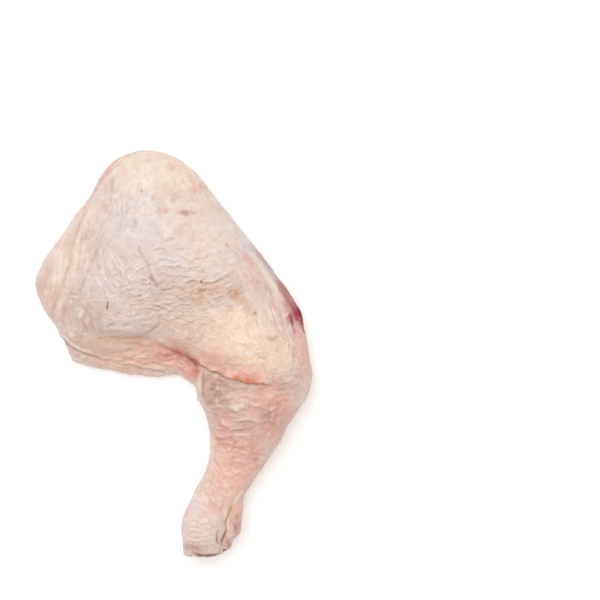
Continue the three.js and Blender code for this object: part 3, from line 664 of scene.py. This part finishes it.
def rounded(path, steps=6):
    """A smooth curve through the points of the path."""
    points = [Vector(point) for point in np.reshape(np.array(path, float), (-1, 2))]
    ends = [2 * points[0] - points[1], *points, 2 * points[-1] - points[-2]]
    curve = []
    for a, b, c, d in zip(ends, ends[1:], ends[2:], ends[3:]):
        for t in np.arange(steps) / steps:
            curve.append(0.5 * (2 * b + (c - a) * t + (2 * a - 5 * b + 4 * c - d) * t ** 2
                                + (3 * b - 3 * c + d - a) * t ** 3))
    return np.array([*curve, ends[-2]])


def near_path(x, y, path):
    """Distance to the path, share along it, and its side: 1 on its left as it runs and -1 on its right.
    The last value is the direction to the left. Past the far distance nothing is measured."""
    points = rounded(path)
    found = np.full(x.shape, np.inf), np.zeros(x.shape), np.ones(x.shape), np.zeros((*x.shape, 2))
    low, high = points.min(axis=0) - FAR, points.max(axis=0) + FAR
    chosen = np.flatnonzero((x > low[0]) & (x < high[0]) & (y > low[1]) & (y < high[1]))
    x, y = x[chosen], y[chosen]
    nearest, along, side, left = (values[chosen] for values in found)
    for i, (a, b) in enumerate(zip(points, points[1:])):
        run = b - a
        length = np.hypot(*run)
        share = np.clip(((x - a[0]) * run[0] + (y - a[1]) * run[1]) / length ** 2, 0, 1)
        off_x, off_y = x - a[0] - share * run[0], y - a[1] - share * run[1]
        away = np.hypot(off_x, off_y)
        closer = away < nearest
        nearest = np.where(closer, away, nearest)
        along = np.where(closer, (i + share) / (len(points) - 1), along)
        side = np.where(closer, np.where(run[0] * off_y - run[1] * off_x < 0, -1, 1), side)
        left[closer] = (-run[1] / length, run[0] / length)
    for values, near in zip(found, (nearest, along, side, left)):
        values[chosen] = near
    return found


def taper(along, share=0.18):
    """Fades a line in and out at its two ends."""
    return np.clip(along / share, 0, 1) * np.clip((1 - along) / share, 0, 1)


def noise_at(points, seed):
    offset = SEED_STEP * seed
    return np.array([noise.noise((x + offset, y - offset, z + offset)) for x, y, z in points.tolist()])


def as_seen(x, y, z):
    """Where the camera sees a point on the level plane."""
    scale = (EYE[2] - LEVEL) / (EYE[2] - z)
    return EYE[0] + (x - EYE[0]) * scale, EYE[1] + (y - EYE[1]) * scale


# Over a fold, across is 0 at the crease at its foot and 1 at the next fold.
def fold_height(across):
    return bell(across, 0.35, 0.38) - 0.8 * bell(across, -0.13, 0.24)


# Painted shade in the crease at a fold's foot.
def fold_shade(across):
    return 0.9 * bell(across, -0.12, 0.26)


# Painted highlight on a fold's top.
def fold_highlight(across):
    return bell(across, 0.36, 0.26)


class Sculpt:
    """The leg's vertices in millimetres, which the steps below move, how much painted shade each one gets in
    a crease, and how much painted highlight on the top of a fold."""

    def __init__(self, mesh):
        self.mesh = mesh
        self.count = len(mesh.vertices)
        self.read()
        self.cavity = np.zeros(self.count)
        self.crest = np.zeros(self.count)

    def read(self):
        flat = np.empty(self.count * 3)
        self.mesh.vertices.foreach_get("co", flat)
        self.points = flat.reshape(-1, 3) / MM
        normals = np.empty(self.count * 3, dtype=np.float32)
        self.mesh.vertex_normals.foreach_get("vector", normals)
        self.normals = normals.reshape(-1, 3).astype(float)
        self.x, self.y, self.z = self.points.T
        self.up = np.clip(self.normals[:, 2] * 1.6 + 0.3, 0, 1)
        self.down = np.clip(-self.normals[:, 2] * 1.6 - 0.1, 0, 1)

    def write(self):
        self.mesh.vertices.foreach_set("co", (self.points * MM).ravel())
        self.mesh.update()
        self.read()

    def push(self, height, where=slice(None)):
        """Moves vertices out along their normals, which stay as they were until the next write."""
        self.points[where] += self.normals[where] * height[:, None]

    # Paints shade into a crease, a hollow or the foot of a lap or ridge.
    def paint_shade(self, amount, where=slice(None)):
        self.cavity[where] = np.maximum(self.cavity[where], amount)

    # Paints highlight onto the tops of folds and ridges.
    def paint_highlight(self, amount, where=slice(None)):
        self.crest[where] = np.maximum(self.crest[where], amount)

    def inside(self, x, y, length, width, turn):
        """Places along and across a spot, how far inside it each vertex is, and which ones are."""
        u, v = turned(self.wx - x, self.wy - y, turn)
        share = np.sqrt(fade(np.hypot(u / length, v / width))) * self.up
        return u, v, share, np.flatnonzero(share > 0.02)

    def total(self, spots):
        """What all the spots do at each vertex."""
        return sum(amount * ellipse(self.wx, self.wy, *place) for *place, amount in spots)

    def wander(self):
        """Places as the camera sees them that stray a little, so that no line or spot has a ruled edge."""
        stray = [noise_at(self.points / size, seed) * far for size, far, seed in STRAYS]
        seen_x, seen_y = as_seen(self.x, self.y, self.z)
        self.wx, self.wy = seen_x + stray[0] + stray[1], seen_y + stray[2] + stray[3]

    def spread(self):
        """Moves the outline out or in."""
        shift = self.normals[:, :2] * self.total(SPREADS)[:, None]
        self.wx += shift[:, 0]
        self.wy += shift[:, 1]
        self.points[:, :2] += shift
        self.write()

    def lap(self, path, lift, drop, reach, overhang):
        """Lifts the left of a path and slides it over its right, which it presses down."""
        away, along, side, left = near_path(self.wx, self.wy, path)
        ends = taper(along) * self.up
        signed = away * side
        upper = np.clip(signed / 0.5 + 0.5, 0, 1)
        above, below = np.maximum(signed, 0), np.minimum(signed, 0)
        height = upper * lift * np.exp(-above / reach)
        height -= (1 - upper) * drop * np.exp(below / (0.6 * reach))
        slide = overhang * np.exp(-(above / (0.5 * reach)) ** 2) * upper
        self.points[:, :2] -= left * (slide * ends)[:, None]
        self.push(height * ends)
        # Painted shade in the crease under the lapped edge.
        shade = np.exp(-(np.minimum(signed + 0.4, 0) / 1.1) ** 2) * (signed < 0.6)
        self.paint_shade(0.9 * shade * ends)

    def ridge(self, height, width, path):
        """Raises a thin ridge, with painted highlight on it and painted shadow at its foot."""
        away, along, _, _ = near_path(self.wx, self.wy, path)
        ends = height * taper(along, 0.25) * self.up
        top = fade(away / width)
        self.push(top * ends)
        self.paint_highlight(2.2 * top * ends)
        self.paint_shade(0.5 * bell(away / width, 1.1, 0.35) * ends)

    def press(self, depth, width, path, ends=0.3):
        """Presses a soft hollow along a path, with a sharp line in it."""
        away, along, _, _ = near_path(self.wx, self.wy, path)
        ends = taper(along, ends) * self.up
        dent = 0.55 * fade(away / width) + 0.45 * np.exp(-away / (0.22 * width))
        self.push(-depth * dent * ends)
        # Painted shade along the hollow's line.
        self.paint_shade(min(depth, 1) * np.exp(-away / (0.3 * width)) * ends)

    def fold(self, depth, width, path):
        away, along, side, _ = near_path(self.wx, self.wy, path)
        across = away * side / width
        ends = taper(along, 0.3) * self.up * (away < 2 * width)
        self.push(depth * fold_height(across) * ends)
        # Painted shade in the crease at the fold's foot.
        self.paint_shade(0.9 * depth * fold_shade(across) * ends)
        # Painted highlight on the fold's top.
        self.paint_highlight(depth * fold_highlight(across) * ends)

    def gather(self, *place):
        """Scatters short folds in uneven rows over a spot."""
        *place, fold_length, fold_width, depth, seed = place
        dice = random.Random(seed)
        u, v, inside, chosen = self.inside(*place)
        chosen = chosen[np.argsort(u[chosen])]
        u, v, inside = u[chosen], v[chosen], inside[chosen]
        height, crease, crest = np.zeros((3, len(chosen)))
        reach = place[2]
        rows = int(place[3] / (0.9 * fold_width))
        for row in range(-rows, rows + 1):
            start = -reach - fold_length * dice.random()
            while start < reach:
                start += 0.7 * fold_length * dice.uniform(0.6, 1.4)
                length, width = fold_length * dice.uniform(0.6, 1.5), fold_width * dice.uniform(0.75, 1.3)
                shift, lean = dice.uniform(-0.5, 0.5), math.radians(dice.uniform(-24, 24))
                bow = dice.uniform(-0.6, 0.6)
                deep = depth * dice.choice((0, 0.4, 0.6, 0.8, 1, 1.2))
                part = slice(*np.searchsorted(u, (start - length / 2, start + length / 2)))
                p, q = u[part] - start, v[part] - (row * 0.9 + shift) * fold_width
                across = (q * math.cos(lean) - p * math.sin(lean)) / width - bow * (2 * p / length) ** 2
                ends = deep * (1 - (2 * p / length) ** 2)
                height[part] += ends * fold_height(across)
                # The crease below each fold gets painted shade and its top painted highlight.
                crease[part] = np.maximum(crease[part], ends * fold_shade(across))
                crest[part] = np.maximum(crest[part], ends * fold_highlight(across))
        self.push(height * inside, chosen)
        self.paint_shade(crease * inside, chosen)
        self.paint_highlight(crest * inside, chosen)

    def lump(self, length, width, height, seed, crumpled=ROUND, at=None, reach=None):
        if at is None:
            inside = 1 - 0.6 * self.down
        else:
            inside = ellipse(self.wx, self.wy, *at, *reach) * (1 - self.down)
        near = inside > 0
        places = np.stack([self.wx[near] / length, self.wy[near] / width, self.z[near] / width], axis=1)
        rise = noise_at(places, seed)
        if crumpled:
            rise = 0.6 - 2.4 * np.abs(rise)
        self.push(height * rise * inside[near], near)

    def net(self, *place):
        """Raises thin ridges that meet in a net over a spot."""
        *place, cell_length, cell_width, height, seed = place
        u, v, inside, near = self.inside(*place)
        places = np.stack([u[near] / cell_length, v[near] / cell_width, self.z[near] / cell_width], axis=1)
        off = np.abs(noise_at(places, seed))
        ridge = bell(off, 0, 0.1)
        amount = height * inside[near]
        self.push((ridge - 0.3) * amount, near)
        # Painted highlight on the net's ridges and painted shade between them.
        self.paint_highlight(1.6 * ridge * amount, near)
        self.paint_shade(np.clip(3 * off - 0.5, 0, 1) * amount, near)

    def underside_tone(self, size, strength, seed):
        patches = noise_at(self.points / size, seed) + 0.4 * noise_at(self.points * 3 / size, seed)
        return np.clip(0.3 + 1.6 * patches, 0, 1) * strength * self.down

    def cut_end(self):
        """The blunt end of the hock is rough with gristle."""
        inside = np.clip((CUT_END["y"] - self.y) / CUT_END["blend"] + 0.5, 0, 1)
        rough = sum(noise_at(self.points / size, seed) * height for size, height, seed in GRISTLE)
        self.push(rough * inside)
        self.write()
        return inside

    def rest(self):
        """Nothing reaches below the surface that the leg lies on."""
        self.points[:, 2] = np.maximum(self.points[:, 2], 0)
        self.write()


def finish_modifiers(piece):
    """Gives the piece the mesh that its modifiers make, and leaves it without them."""
    shaped = bpy.data.meshes.new_from_object(piece.evaluated_get(bpy.context.evaluated_depsgraph_get()))
    old = piece.data
    piece.modifiers.clear()
    piece.data = shaped
    bpy.data.meshes.remove(old)


def lay_roll(bm, surface, path, radius, sunk):
    """Lays a roll of skin on the solid: a row of balls that the remesh joins."""
    eye = Vector(EYE) * MM
    for x, y in rounded(path, steps=BALLS_FROM_POINT_TO_POINT):
        hit = surface.ray_cast(eye, Vector((x, y, LEVEL)) * MM - eye)[0]
        if hit is None:
            raise RuntimeError(f"The roll misses the leg at {x:.1f}, {y:.1f}")
        centre = hit + Vector((0, 0, (radius * 0.4 - sunk) * MM))
        bmesh.ops.create_icosphere(bm, subdivisions=2, radius=radius * MM, matrix=Matrix.Translation(centre))


def remeshed_leg():
    """The solid and its rolls as one fine, smooth mesh, with its underside thinned."""
    bm = bmesh.new()
    bm.from_mesh(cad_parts[LEG_NODE].data)
    bmesh.ops.remove_doubles(bm, verts=bm.verts, dist=0.01 * MM)
    bmesh.ops.recalc_face_normals(bm, faces=bm.faces)
    surface = BVHTree.FromBMesh(bm)
    for roll in ROLLS.values():
        lay_roll(bm, surface, **roll)
    mesh = bpy.data.meshes.new("chicken_leg_skin")
    bm.to_mesh(mesh)
    bm.free()
    leg = bpy.data.objects.new("chicken_leg_skin", mesh)
    bpy.context.scene.collection.objects.link(leg)

    remesh = leg.modifiers.new("Remesh", "REMESH")
    remesh.mode = "VOXEL"
    remesh.voxel_size = VOXEL * MM
    leg.modifiers.new("Smooth", "SMOOTH").iterations = SMOOTHING_PASSES
    finish_modifiers(leg)

    shape = Sculpt(leg.data)
    low = np.flatnonzero(shape.normals[:, 2] < UNDERSIDE_SLOPE)
    lumps = noise_at(shape.points[low] / UNDERSIDE_LUMPS["size"], UNDERSIDE_LUMPS["seed"])
    shape.push(lumps * UNDERSIDE_LUMPS["height"], low)
    shape.write()
    leg.vertex_groups.new(name="below").add(low.tolist(), 1, "REPLACE")
    thin = leg.modifiers.new("Thin", "DECIMATE")
    thin.ratio = 1 - (1 - UNDERSIDE_KEPT) * len(low) / shape.count
    thin.vertex_group = "below"
    finish_modifiers(leg)
    leg.vertex_groups.clear()
    return leg


def thin_out(leg):
    """Takes faces away where the leg is smooth until few enough are left."""
    leg.data.calc_loop_triangles()
    thin = leg.modifiers.new("Thin", "DECIMATE")
    thin.ratio = min(1, MOST_TRIANGLES / len(leg.data.loop_triangles))
    thin.use_collapse_triangulate = True
    finish_modifiers(leg)


def paint(mesh, name, values):
    mesh.attributes.new(name, "FLOAT", "POINT").data.foreach_set("value", np.clip(values, 0, 1))


def patch_amount(sculpt, patch):
    """How strong a spot or a streak of tone is at each vertex."""
    if isinstance(patch, tuple):
        patch = spot(*patch)
    x, y = sculpt.wx, sculpt.wy
    if "above" in patch:
        low = np.clip((RUN_DOWN["from"] - sculpt.z) / RUN_DOWN["over"], 0, 1)
        y = y + RUN_DOWN["stray"] * low * noise_at(sculpt.points / RUN_DOWN["size"], STRAY_SEED)
    if "path" in patch:
        away, along, _, _ = near_path(x, y, patch["path"])
        amount = patch["amount"] * fade(away / patch["width"]) * taper(along, 0.25)
    else:
        *place, amount = patch["spot"]
        amount = amount * ellipse(x, y, *place)
    if "grain" in patch:
        u, v = turned(sculpt.wx, sculpt.wy, place[-1])
        grain_length, grain_width = patch["grain"]
        places = np.stack([u / grain_length, v / grain_width, sculpt.z / GRAIN_HEIGHT], axis=1)
        amount = amount * np.clip(0.5 + 2 * noise_at(places, GRAIN_SEED), 0, 1.3)
    if "above" in patch:
        ragged = RUN_DOWN["rag"] * noise_at(sculpt.points / RUN_DOWN["size"], RAG_SEED)
        amount = amount * np.clip((sculpt.z - patch["above"] + ragged) / RUN_DOWN["fade"], 0, 1)
    return amount


def specks(tone):
    """The scattered spots of one tone."""
    spots = []
    for name, count, smallest, largest, amount, seed in SPECKS:
        if name == tone:
            dice = random.Random(seed)
            for _ in range(count):
                middle = [c + r * dice.uniform(-1, 1) for c, r in zip(SPECKED["at"], SPECKED["reach"])]
                size = dice.uniform(smallest, largest)
                spots.append((*middle, size * dice.uniform(1, 1.8), size, dice.uniform(0, 180), amount))
    return spots


def node_group(name, inputs, outputs):
    """A shader node group with the sockets named, and its input and output nodes."""
    group = bpy.data.node_groups.new(name, "ShaderNodeTree")
    for label, default in inputs:
        socket = group.interface.new_socket(name=label, in_out="INPUT", socket_type="NodeSocketFloat")
        socket.default_value = default
    for label in outputs:
        group.interface.new_socket(name=label, in_out="OUTPUT", socket_type="NodeSocketFloat")
    return group, group.nodes.new("NodeGroupInput"), group.nodes.new("NodeGroupOutput")


def feed(tree, socket, value):
    """Links another socket to this one, or sets a number or colour on it."""
    if isinstance(value, bpy.types.NodeSocket):
        tree.links.new(value, socket)
    elif isinstance(value, tuple) and len(value) < len(socket.default_value):
        socket.default_value = (*value, 1)
    else:
        socket.default_value = value


def math_node(tree, operation, *values, clamp=False):
    node = tree.nodes.new("ShaderNodeMath")
    node.operation = operation
    node.use_clamp = clamp
    for socket, value in zip(node.inputs, values):
        feed(tree, socket, value)
    return node.outputs[0]


def noise_texture(tree, where, scale, detail=3, roughness=0.55):
    node = tree.nodes.new("ShaderNodeTexNoise")
    for label, value in (("Vector", where), ("Scale", scale), ("Detail", detail), ("Roughness", roughness)):
        feed(tree, node.inputs[label], value)
    return node.outputs["Fac"]


def soft_patch_group():
    """Breaks up the edge of a painted patch, so that it looks grown and not brushed."""
    group, given, made = node_group("Soft patch", [("Mask", 0), ("Breakup", 0.6), ("Grain", 300)], ["Amount"])
    where = group.nodes.new("ShaderNodeTexCoord").outputs["Object"]
    speckle = noise_texture(group, where, given.outputs["Grain"], detail=3, roughness=0.6)
    centred = math_node(group, "SUBTRACT", speckle, 0.5)
    mask = given.outputs["Mask"]
    edge = math_node(group, "MULTIPLY", mask, math_node(group, "SUBTRACT", 1.25, mask))
    broken = math_node(group, "MULTIPLY", centred, given.outputs["Breakup"])
    swing = math_node(group, "MULTIPLY", broken, edge)
    feed(group, made.inputs["Amount"], math_node(group, "MULTIPLY_ADD", swing, 3.6, mask, clamp=True))
    return group


def skin_grain_group():
    """Fine grain of the skin: small goose bumps with pores between them."""
    group, given, made = node_group("Skin grain", [("Size", 700), ("Bumps", 1)], ["Height", "Pores"])
    where = group.nodes.new("ShaderNodeTexCoord").outputs["Object"]
    cells = group.nodes.new("ShaderNodeTexVoronoi")
    cells.feature = "SMOOTH_F1"
    for label, value in (("Smoothness", 0.6), ("Vector", where), ("Scale", given.outputs["Size"])):
        feed(group, cells.inputs[label], value)
    away = cells.outputs["Distance"]
    fine = noise_texture(group, where, math_node(group, "MULTIPLY", given.outputs["Size"], 3), detail=4)
    lifted = math_node(group, "MULTIPLY", math_node(group, "SUBTRACT", 1, away), given.outputs["Bumps"])
    feed(group, made.inputs["Height"], math_node(group, "MULTIPLY_ADD", fine, 0.5, lifted))
    # Pores: how far from the middle of a bump, which darkens the skin between the bumps as painted shade.
    feed(group, made.inputs["Pores"], math_node(group, "MULTIPLY_ADD", away, 2.2, -1, clamp=True))
    return group


def place_group(tree, group, **values):
    node = tree.nodes.new("ShaderNodeGroup")
    node.node_tree = group
    for label, value in values.items():
        feed(tree, node.inputs[label], value)
    return node


def mix_colour(tree, amount, first, second, blend="MIX"):
    node = tree.nodes.new("ShaderNodeMix")
    node.data_type = "RGBA"
    node.blend_type = blend
    sockets = {socket.identifier: socket for socket in node.inputs}
    for label, value in (("Factor_Float", amount), ("A_Color", first), ("B_Color", second)):
        feed(tree, sockets[label], value)
    return next(socket for socket in node.outputs if socket.identifier == "Result_Color")


def painted(tree, name):
    node = tree.nodes.new("ShaderNodeAttribute")
    node.attribute_name = name
    return node.outputs["Fac"]


def new_material(name, values):
    """A material with its node tree, its shader, on which the values are set, and Object coordinates."""
    material = bpy.data.materials.new(name)
    material.use_nodes = True
    tree = material.node_tree
    shader = tree.nodes["Principled BSDF"]
    for label, value in values.items():
        shader.inputs[label].default_value = value
    return material, tree, shader, tree.nodes.new("ShaderNodeTexCoord").outputs["Object"]


def skin_material(settings):
    """Moist raw skin: tones painted on the leg, mottled and veined, with grain, pores and a wet film."""
    material, tree, shader, where = new_material("Raw chicken skin", SKIN_VALUES)
    patch, grain = soft_patch_group(), skin_grain_group()

    mottle = noise_texture(tree, where, **MOTTLE)
    tint = mix_colour(tree, math_node(tree, "MULTIPLY_ADD", mottle, 2.6, -0.8, clamp=True), FLUSHED, BLEACHED)
    colour = tuple(settings.skin)
    for name, breakup, size in TONE_LAYERS:
        layer = place_group(tree, patch, Mask=painted(tree, name), Breakup=breakup, Grain=size)
        colour = mix_colour(tree, layer.outputs["Amount"], colour, tuple(getattr(settings, name)))
    colour = mix_colour(tree, 1, colour, tint, blend="MULTIPLY")
    # Painted highlight on the tops of folds and ridges, mixed towards the crest tone.
    stretched = math_node(tree, "MULTIPLY", painted(tree, "crest"), 0.55)
    colour = mix_colour(tree, stretched, colour, tuple(settings.crest))
    # The crease tone multiplies in the painted shade of creases, laps and ridge feet.
    colour = mix_colour(tree, painted(tree, "cavity"), colour, tuple(settings.crease), blend="MULTIPLY")

    fine = place_group(tree, grain, Size=620, Bumps=1)
    flecks = noise_texture(tree, where, **FLECKS)
    flecked = math_node(tree, "MULTIPLY_ADD", flecks, 0.1, 0.95)
    # Painted shade in the pores between the goose bumps; the flecks are a random tone.
    pore_shade = math_node(tree, "MULTIPLY_ADD", fine.outputs["Pores"], -0.05, 1)
    shade = math_node(tree, "MULTIPLY", flecked, pore_shade)
    grey = tree.nodes.new("ShaderNodeCombineColor")
    for socket in grey.inputs[:3]:
        feed(tree, socket, shade)
    colour = mix_colour(tree, 1, colour, grey.outputs["Color"], blend="MULTIPLY")
    feed(tree, shader.inputs["Base Color"], colour)

    dull = math_node(tree, "MAXIMUM", painted(tree, "steep"), painted(tree, "blood"))
    rough = math_node(tree, "MULTIPLY_ADD", noise_texture(tree, where, 55), 0.3, 0.32)
    feed(tree, shader.inputs["Roughness"], math_node(tree, "MULTIPLY_ADD", dull, 0.3, rough))
    film = math_node(tree, "MULTIPLY_ADD", noise_texture(tree, where, 90, detail=4), 1, -0.4, clamp=True)
    film = math_node(tree, "MULTIPLY", film, math_node(tree, "SUBTRACT", 1, dull))
    feed(tree, shader.inputs["Coat Weight"], film)

    bump = tree.nodes.new("ShaderNodeBump")
    for label, value in PORE_BUMP.items():
        bump.inputs[label].default_value = value
    feed(tree, bump.inputs["Height"], fine.outputs["Height"])
    feed(tree, shader.inputs["Normal"], bump.outputs["Normal"])
    return material


def floor_material(settings):
    material, tree, shader, where = new_material("Pale floor", FLOOR_VALUES)
    shaded = tuple(c * FLOOR_SHADE for c in settings.floor)
    colour = mix_colour(tree, noise_texture(tree, where, 40), shaded, tuple(settings.floor))
    feed(tree, shader.inputs["Base Color"], colour)
    return material


class LEG_OT_make_leg(bpy.types.Operator):
    """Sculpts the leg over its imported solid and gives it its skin"""

    bl_idname = "leg.make_leg"
    bl_label = "Leg"

    def execute(self, context):
        leg = remeshed_leg()
        sculpt = Sculpt(leg.data)
        sculpt.wander()
        sculpt.spread()
        sculpt.push(sculpt.total(SWELLINGS.values()) * sculpt.up)
        sculpt.write()
        for lap in LAPS.values():
            sculpt.lap(**lap)
        sculpt.write()
        for crease in CREASES:
            sculpt.press(*crease)
        sculpt.write()
        for lump in LUMPS:
            sculpt.lump(*lump)
        sculpt.write()
        for net in NETS:
            sculpt.net(*net)
        for height, width, paths in RIDGES:
            for path in paths:
                sculpt.ridge(height, width, path)
        for depth, width, paths in LINES:
            for path in paths:
                sculpt.press(depth, width, path, LINE_ENDS)
        sculpt.write()
        for fold in FOLDS:
            sculpt.fold(*fold)
        for gather in GATHERS:
            sculpt.gather(*gather)
        sculpt.write()
        end = sculpt.cut_end()
        sculpt.rest()

        for name, patches in TONE_PATCHES.items():
            amount = sum(patch_amount(sculpt, patch) for patch in [*patches, *specks(name)])
            amount = amount * (1 - (1 - UPPER_TONES_BELOW) * sculpt.down)
            if name in UNDERSIDE_TONES:
                amount = amount + sculpt.underside_tone(*UNDERSIDE_TONES[name])
            paint(leg.data, name, amount + CUT_END.get(name, 0) * end)
        # Painted shade of the creases and painted highlight of the tops of folds and ridges.
        paint(leg.data, "cavity", sculpt.cavity)
        paint(leg.data, "crest", sculpt.crest)
        paint(leg.data, "steep", (STEEP["from"] - sculpt.normals[:, 2]) / STEEP["over"])
        thin_out(leg)
        leg.data.shade_smooth()
        leg.data.materials.clear()
        leg.data.materials.append(skin_material(context.scene.leg_settings))
        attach(leg, "root")
        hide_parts(LEG_NODE)
        return {"FINISHED"}


class LEG_OT_make_stage(bpy.types.Operator):
    """Adds the pale floor, the soft lights and the camera straight above"""

    bl_idname = "leg.make_stage"
    bl_label = "Stage"

    def execute(self, context):
        settings = context.scene.stage_settings
        scene = context.scene
        bm = bmesh.new()
        bmesh.ops.create_grid(bm, x_segments=1, y_segments=1, size=FLOOR_REACH)
        mesh = bpy.data.meshes.new("floor")
        bm.to_mesh(mesh)
        bm.free()
        mesh.materials.append(floor_material(settings))
        floor = bpy.data.objects.new("floor", mesh)
        scene.collection.objects.link(floor)

        world = bpy.data.worlds.new("Soft room")
        world.use_nodes = True
        background = world.node_tree.nodes["Background"]
        background.inputs["Color"].default_value = ROOM_COLOUR
        background.inputs["Strength"].default_value = settings.fill
        scene.world = world

        light = bpy.data.lights.new("key", "SUN")
        light.energy = settings.key
        light.angle = math.radians(KEY_SOFTNESS)
        lamp = bpy.data.objects.new("key", light)
        lamp.rotation_euler = Vector(KEY_DIRECTION).to_track_quat("-Z", "Y").to_euler()
        scene.collection.objects.link(lamp)

        camera = bpy.data.objects.new("camera", bpy.data.cameras.new("camera"))
        camera.data.lens = LENS
        camera.data.sensor_width = SENSOR
        camera.data.clip_start = NEAREST
        camera.location = Vector(EYE) * MM
        scene.collection.objects.link(camera)
        scene.camera = camera
        scene.view_settings.view_transform = "Standard"
        scene.view_settings.look = "None"
        return {"FINISHED"}


class LEG_PT_panel(bpy.types.Panel):
    """Lists the steps that make the leg"""

    bl_label = "Raw Chicken Leg Quarter"
    bl_idname = "LEG_PT_panel"
    bl_space_type = "VIEW_3D"
    bl_region_type = "UI"
    bl_category = "Leg"

    def draw(self, context):
        column = self.layout.column(align=True)
        column.operator(LEG_OT_make_leg.bl_idname)
        column.operator(LEG_OT_make_stage.bl_idname)
        for settings in (context.scene.leg_settings, context.scene.stage_settings):
            for name in settings.bl_rna.properties.keys():
                if name not in {"rna_type", "name"}:
                    self.layout.prop(settings, name)


CLASSES = (LegSettings, StageSettings, LEG_OT_make_leg, LEG_OT_make_stage, LEG_PT_panel)


def register():
    for cls in CLASSES:
        bpy.utils.register_class(cls)
    bpy.types.Scene.leg_settings = PointerProperty(type=LegSettings)
    bpy.types.Scene.stage_settings = PointerProperty(type=StageSettings)


def unregister():
    del bpy.types.Scene.stage_settings
    del bpy.types.Scene.leg_settings
    for cls in reversed(CLASSES):
        bpy.utils.unregister_class(cls)


def main():
    register()
    bpy.ops.leg.make_leg()
    bpy.ops.leg.make_stage()


if __name__ == "__main__":
    main()
